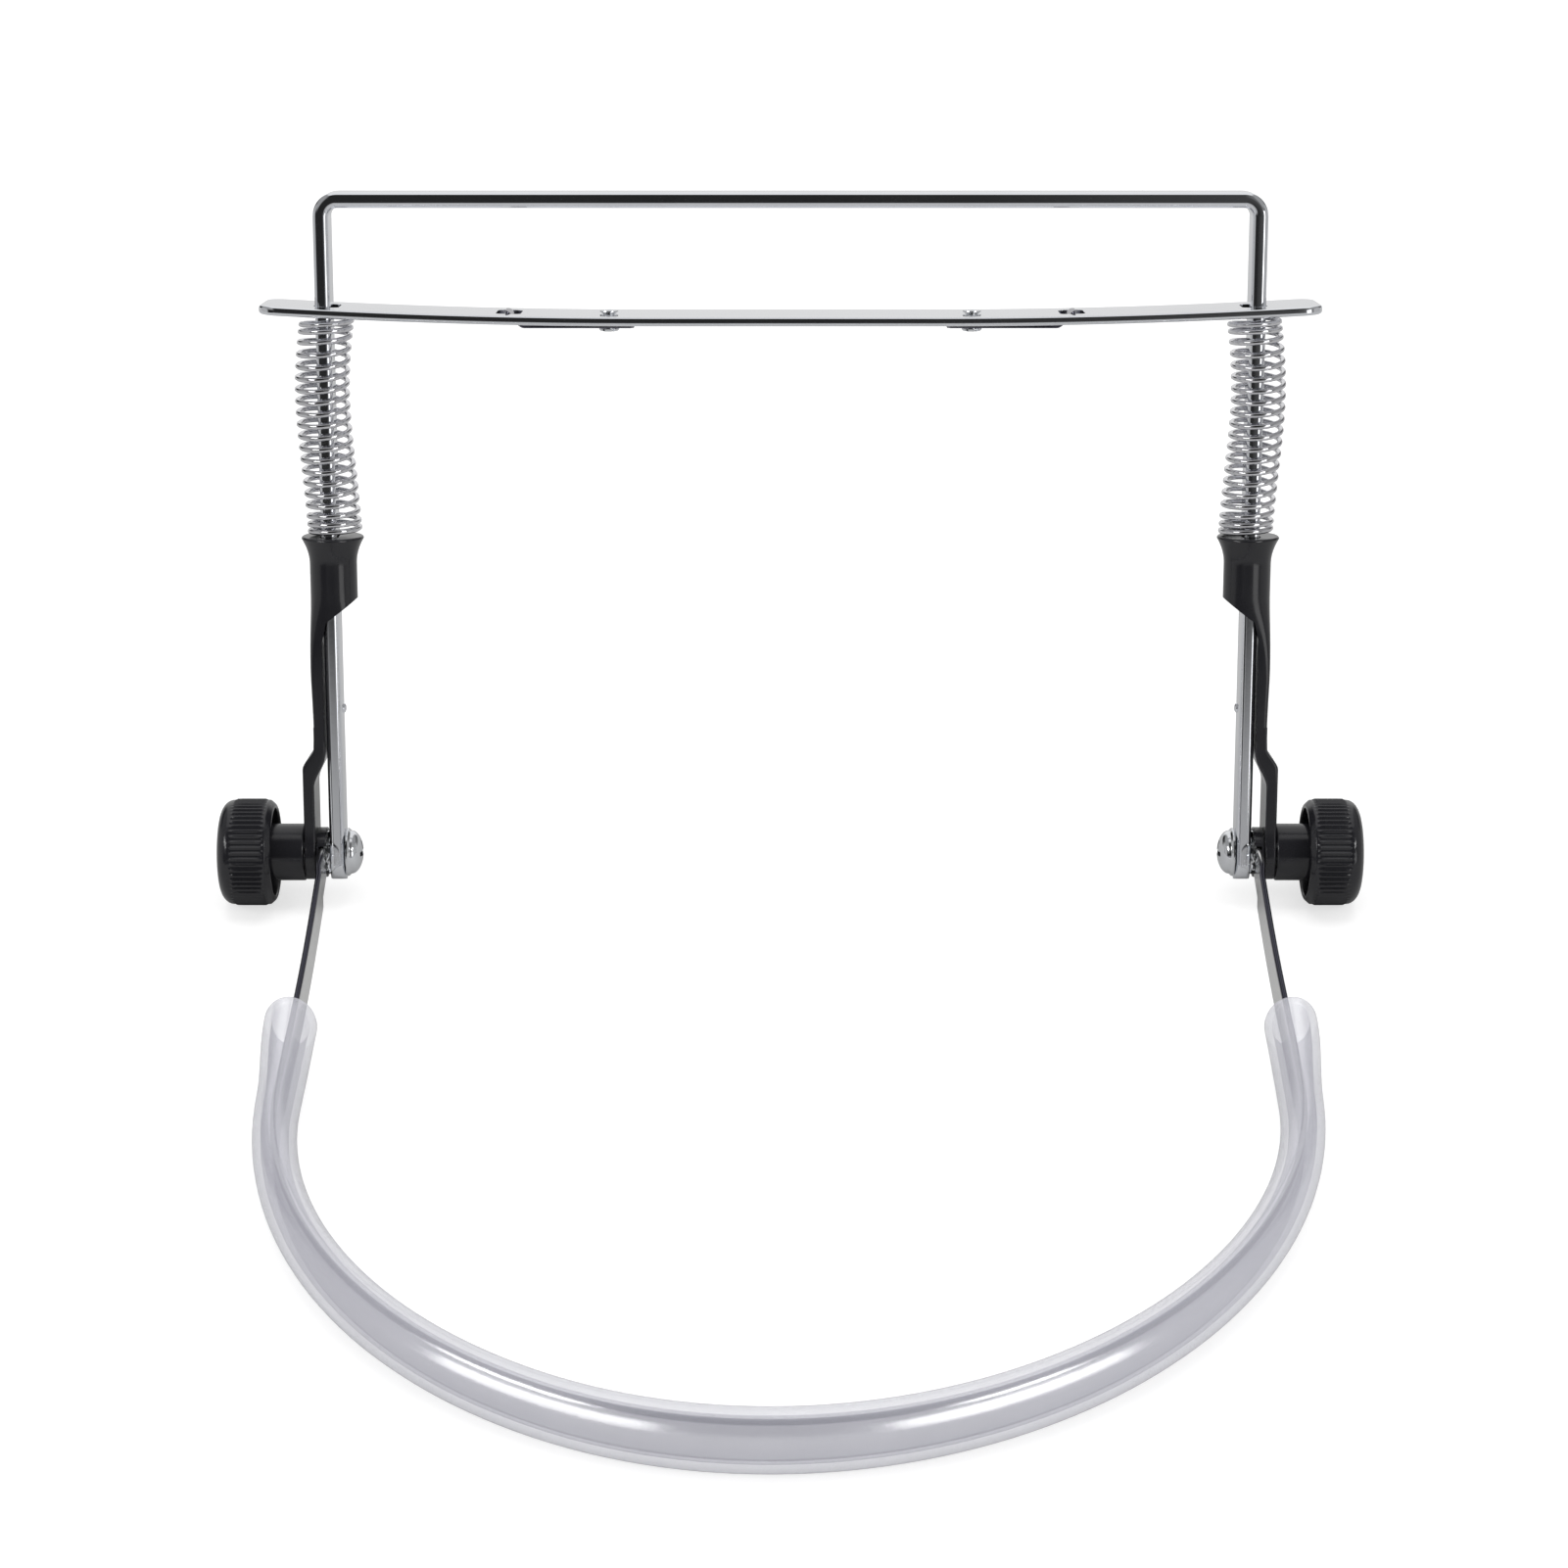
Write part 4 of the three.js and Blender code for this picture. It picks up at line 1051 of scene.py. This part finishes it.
make_pair("star_washer", washer_mesh, zinc, "arm_frame", sharp=30)

# %% [markdown]
# ## CAD nodes that stay
# The serrated discs and the threaded inserts are right as the CAD made them. They
# only need a better finish than a plain colour.

# %% Dress the nodes that stay
stay = {"friction_disc_": black_plastic, "knob_insert_": brass}
for hand, side in hands:
    for node, material in stay.items():
        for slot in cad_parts[node + hand].material_slots:
            slot.material = material
print("CAD nodes dressed:", len(stay) * len(hands))

# %% [markdown]
# ## Floor
# The photograph has a white ground. The floor is matt paper that keeps the soft
# shadows, and a little glow, seen by the camera alone, takes it up to white. Two
# weaker glows serve the object: mirrored rays find the floor bright behind it, and
# the paper throws some light back on the undersides.

# %% The floor
floor_half, camera_glow, mirror_glow, bounce_glow = 1.4, 0.66, 0.3, 0.35


def make_floor():
    bm = bmesh.new()
    bmesh.ops.create_grid(bm, x_segments=1, y_segments=1, size=floor_half)
    floor = object_from(bm, "floor")
    material, tree, shader, place = new_material("floor_paper")
    tones = two_tones(tree, noise(tree, place, 3), (0.44, 0.44, 0.44), (0.46, 0.46, 0.46))
    tree.links.new(tones, shader.inputs["Base Color"])
    settle(shader, Roughness=0.9, Specular_IOR_Level=0, Emission_Color=(1, 1, 1, 1))
    rays = tree.nodes.new("ShaderNodeLightPath").outputs
    parts = tree.nodes.new("ShaderNodeSeparateXYZ")
    tree.links.new(place, parts.inputs[0])
    behind = spread(tree, parts.outputs["Y"], 0, mirror_glow, 0.35, 0.7)
    seen = maths(tree, "MULTIPLY", rays["Is Camera Ray"], camera_glow)
    mirrored = maths(tree, "MULTIPLY", rays["Is Glossy Ray"], behind)
    bounced = maths(tree, "MULTIPLY", rays["Is Diffuse Ray"], bounce_glow)
    glow = maths(tree, "ADD", maths(tree, "ADD", seen, mirrored), bounced)
    tree.links.new(glow, shader.inputs["Emission Strength"])
    floor.data.materials.append(material)


make_floor()
print("floor:", 2 * floor_half, "m wide")

# %% [markdown]
# ## World
# The world is white where the camera sees it and an even grey for soft light.
# Chrome is only as good as what it mirrors, so mirrored rays find a dark studio
# instead: white paper behind the object, grey below the horizon, a little light on
# the right, grey walls far out to both sides, and a darker grey ceiling above them.
# What stays dark between these gives the bars their black stripes.

# %% The world
soft_light = 0.6


def studio(tree, direction):
    """What mirrored rays find, from 0 for the dark to 1 for white."""
    parts = tree.nodes.new("ShaderNodeSeparateXYZ")
    tree.links.new(direction, parts.inputs[0])
    x, y, z = parts.outputs
    sideways = maths(tree, "ABSOLUTE", x)

    def between(value, low, high, start, end):
        return spread(tree, value, low, high, start, end, "SMOOTHSTEP")

    ahead = between(sideways, 1, 0, 0.35, 0.6)
    beside = between(sideways, 0, 1, 0.30, 0.55)
    surfaces = [
        maths(tree, "MULTIPLY", between(y, 0, 0.85, -0.25, 0.05), ahead),
        between(x, 0.02, 0.16, 0.0, 0.4),
        maths(tree, "MULTIPLY", between(z, 0.38, 0, 0.05, 0.13), ahead),
        between(sideways, 0, 0.45, 0.8, 0.93),
        maths(tree, "MULTIPLY", between(z, 0, 0.32, 0.22, 0.45), beside),
    ]
    brightest = surfaces[0]
    for surface in surfaces[1:]:
        brightest = maths(tree, "MAXIMUM", brightest, surface)
    return brightest


def make_world():
    world = bpy.data.worlds.new("studio")
    bpy.context.scene.world = world
    world.use_nodes = True
    tree = world.node_tree
    direction = tree.nodes.new("ShaderNodeTexCoord").outputs["Generated"]
    rays = tree.nodes.new("ShaderNodeLightPath").outputs
    glossy = rays["Is Glossy Ray"]
    seen = maths(tree, "MAXIMUM", rays["Is Camera Ray"], rays["Is Transmission Ray"])
    others = maths(tree, "SUBTRACT", 1.0, maths(tree, "MAXIMUM", seen, glossy))
    mirrored = maths(tree, "MULTIPLY", glossy, studio(tree, direction))
    strength = maths(tree, "MULTIPLY_ADD", others, soft_light, maths(tree, "ADD", seen, mirrored))
    background = tree.nodes["Background"]
    tree.links.new(strength, background.inputs["Strength"])
    settle(background, Color=(1, 1, 1, 1))


make_world()
print("world nodes:", len(bpy.context.scene.world.node_tree.nodes))

# %% [markdown]
# ## Lamps
# One wide lamp overhead lights everything evenly and stays out of the mirrors. Two
# softboxes and a low panel put highlights on the black plastic and the small metal.
# The bail and the tray are kept out of the softboxes' light, because such large
# mirrors would show them as white patches from behind. Two strip lights serve the
# sleeve alone: they draw the long streaks along its front.

# %% The lamps
def lamp(name, place, size, power):
    data = bpy.data.lights.new(name, "AREA")
    data.shape = "RECTANGLE"
    data.size, data.size_y = size
    data.energy = power
    made = bpy.data.objects.new(name, data)
    made.location = place
    aim = Vector((0, 0, min(place[2], 0.3))) - Vector(place)
    made.rotation_euler = aim.to_track_quat("-Z", "Y").to_euler()
    bpy.context.scene.collection.objects.link(made)
    return made


def light_group(name, pieces, state="INCLUDE"):
    """A collection of the pieces that a lamp lights alone, or leaves out."""
    group = bpy.data.collections.new(name)
    for piece in pieces:
        group.objects.link(piece)
    for member in group.collection_objects:
        member.light_linking.link_state = state
    return group


overhead = lamp("overhead", (0.0, 0.15, 1.5), (1.2, 0.9), 11)
overhead.visible_glossy = False
large_mirrors = light_group("not lit by the softboxes", (bail_piece, tray_piece), "EXCLUDE")
left_softbox = lamp("left softbox", (-0.86, -0.54, 0.80), (0.62, 0.20), 3.0)
right_softbox = lamp("right softbox", (0.79, -0.63, 0.80), (0.42, 0.20), 2.0)
for softbox in (left_softbox, right_softbox):
    softbox.light_linking.receiver_collection = large_mirrors
lamp("low panel", (0.75, -0.78, 0.27), (0.50, 0.44), 1.1)
near_sleeve = light_group("lit by the strip lights", (sleeve_piece,))
for hand, side in hands:
    strip_light = lamp(hand + " strip light", (side * 0.66, -0.68, 0.18), (0.76, 0.36), 3.4)
    strip_light.light_linking.receiver_collection = near_sleeve
print("lamps:", len(bpy.data.lights))
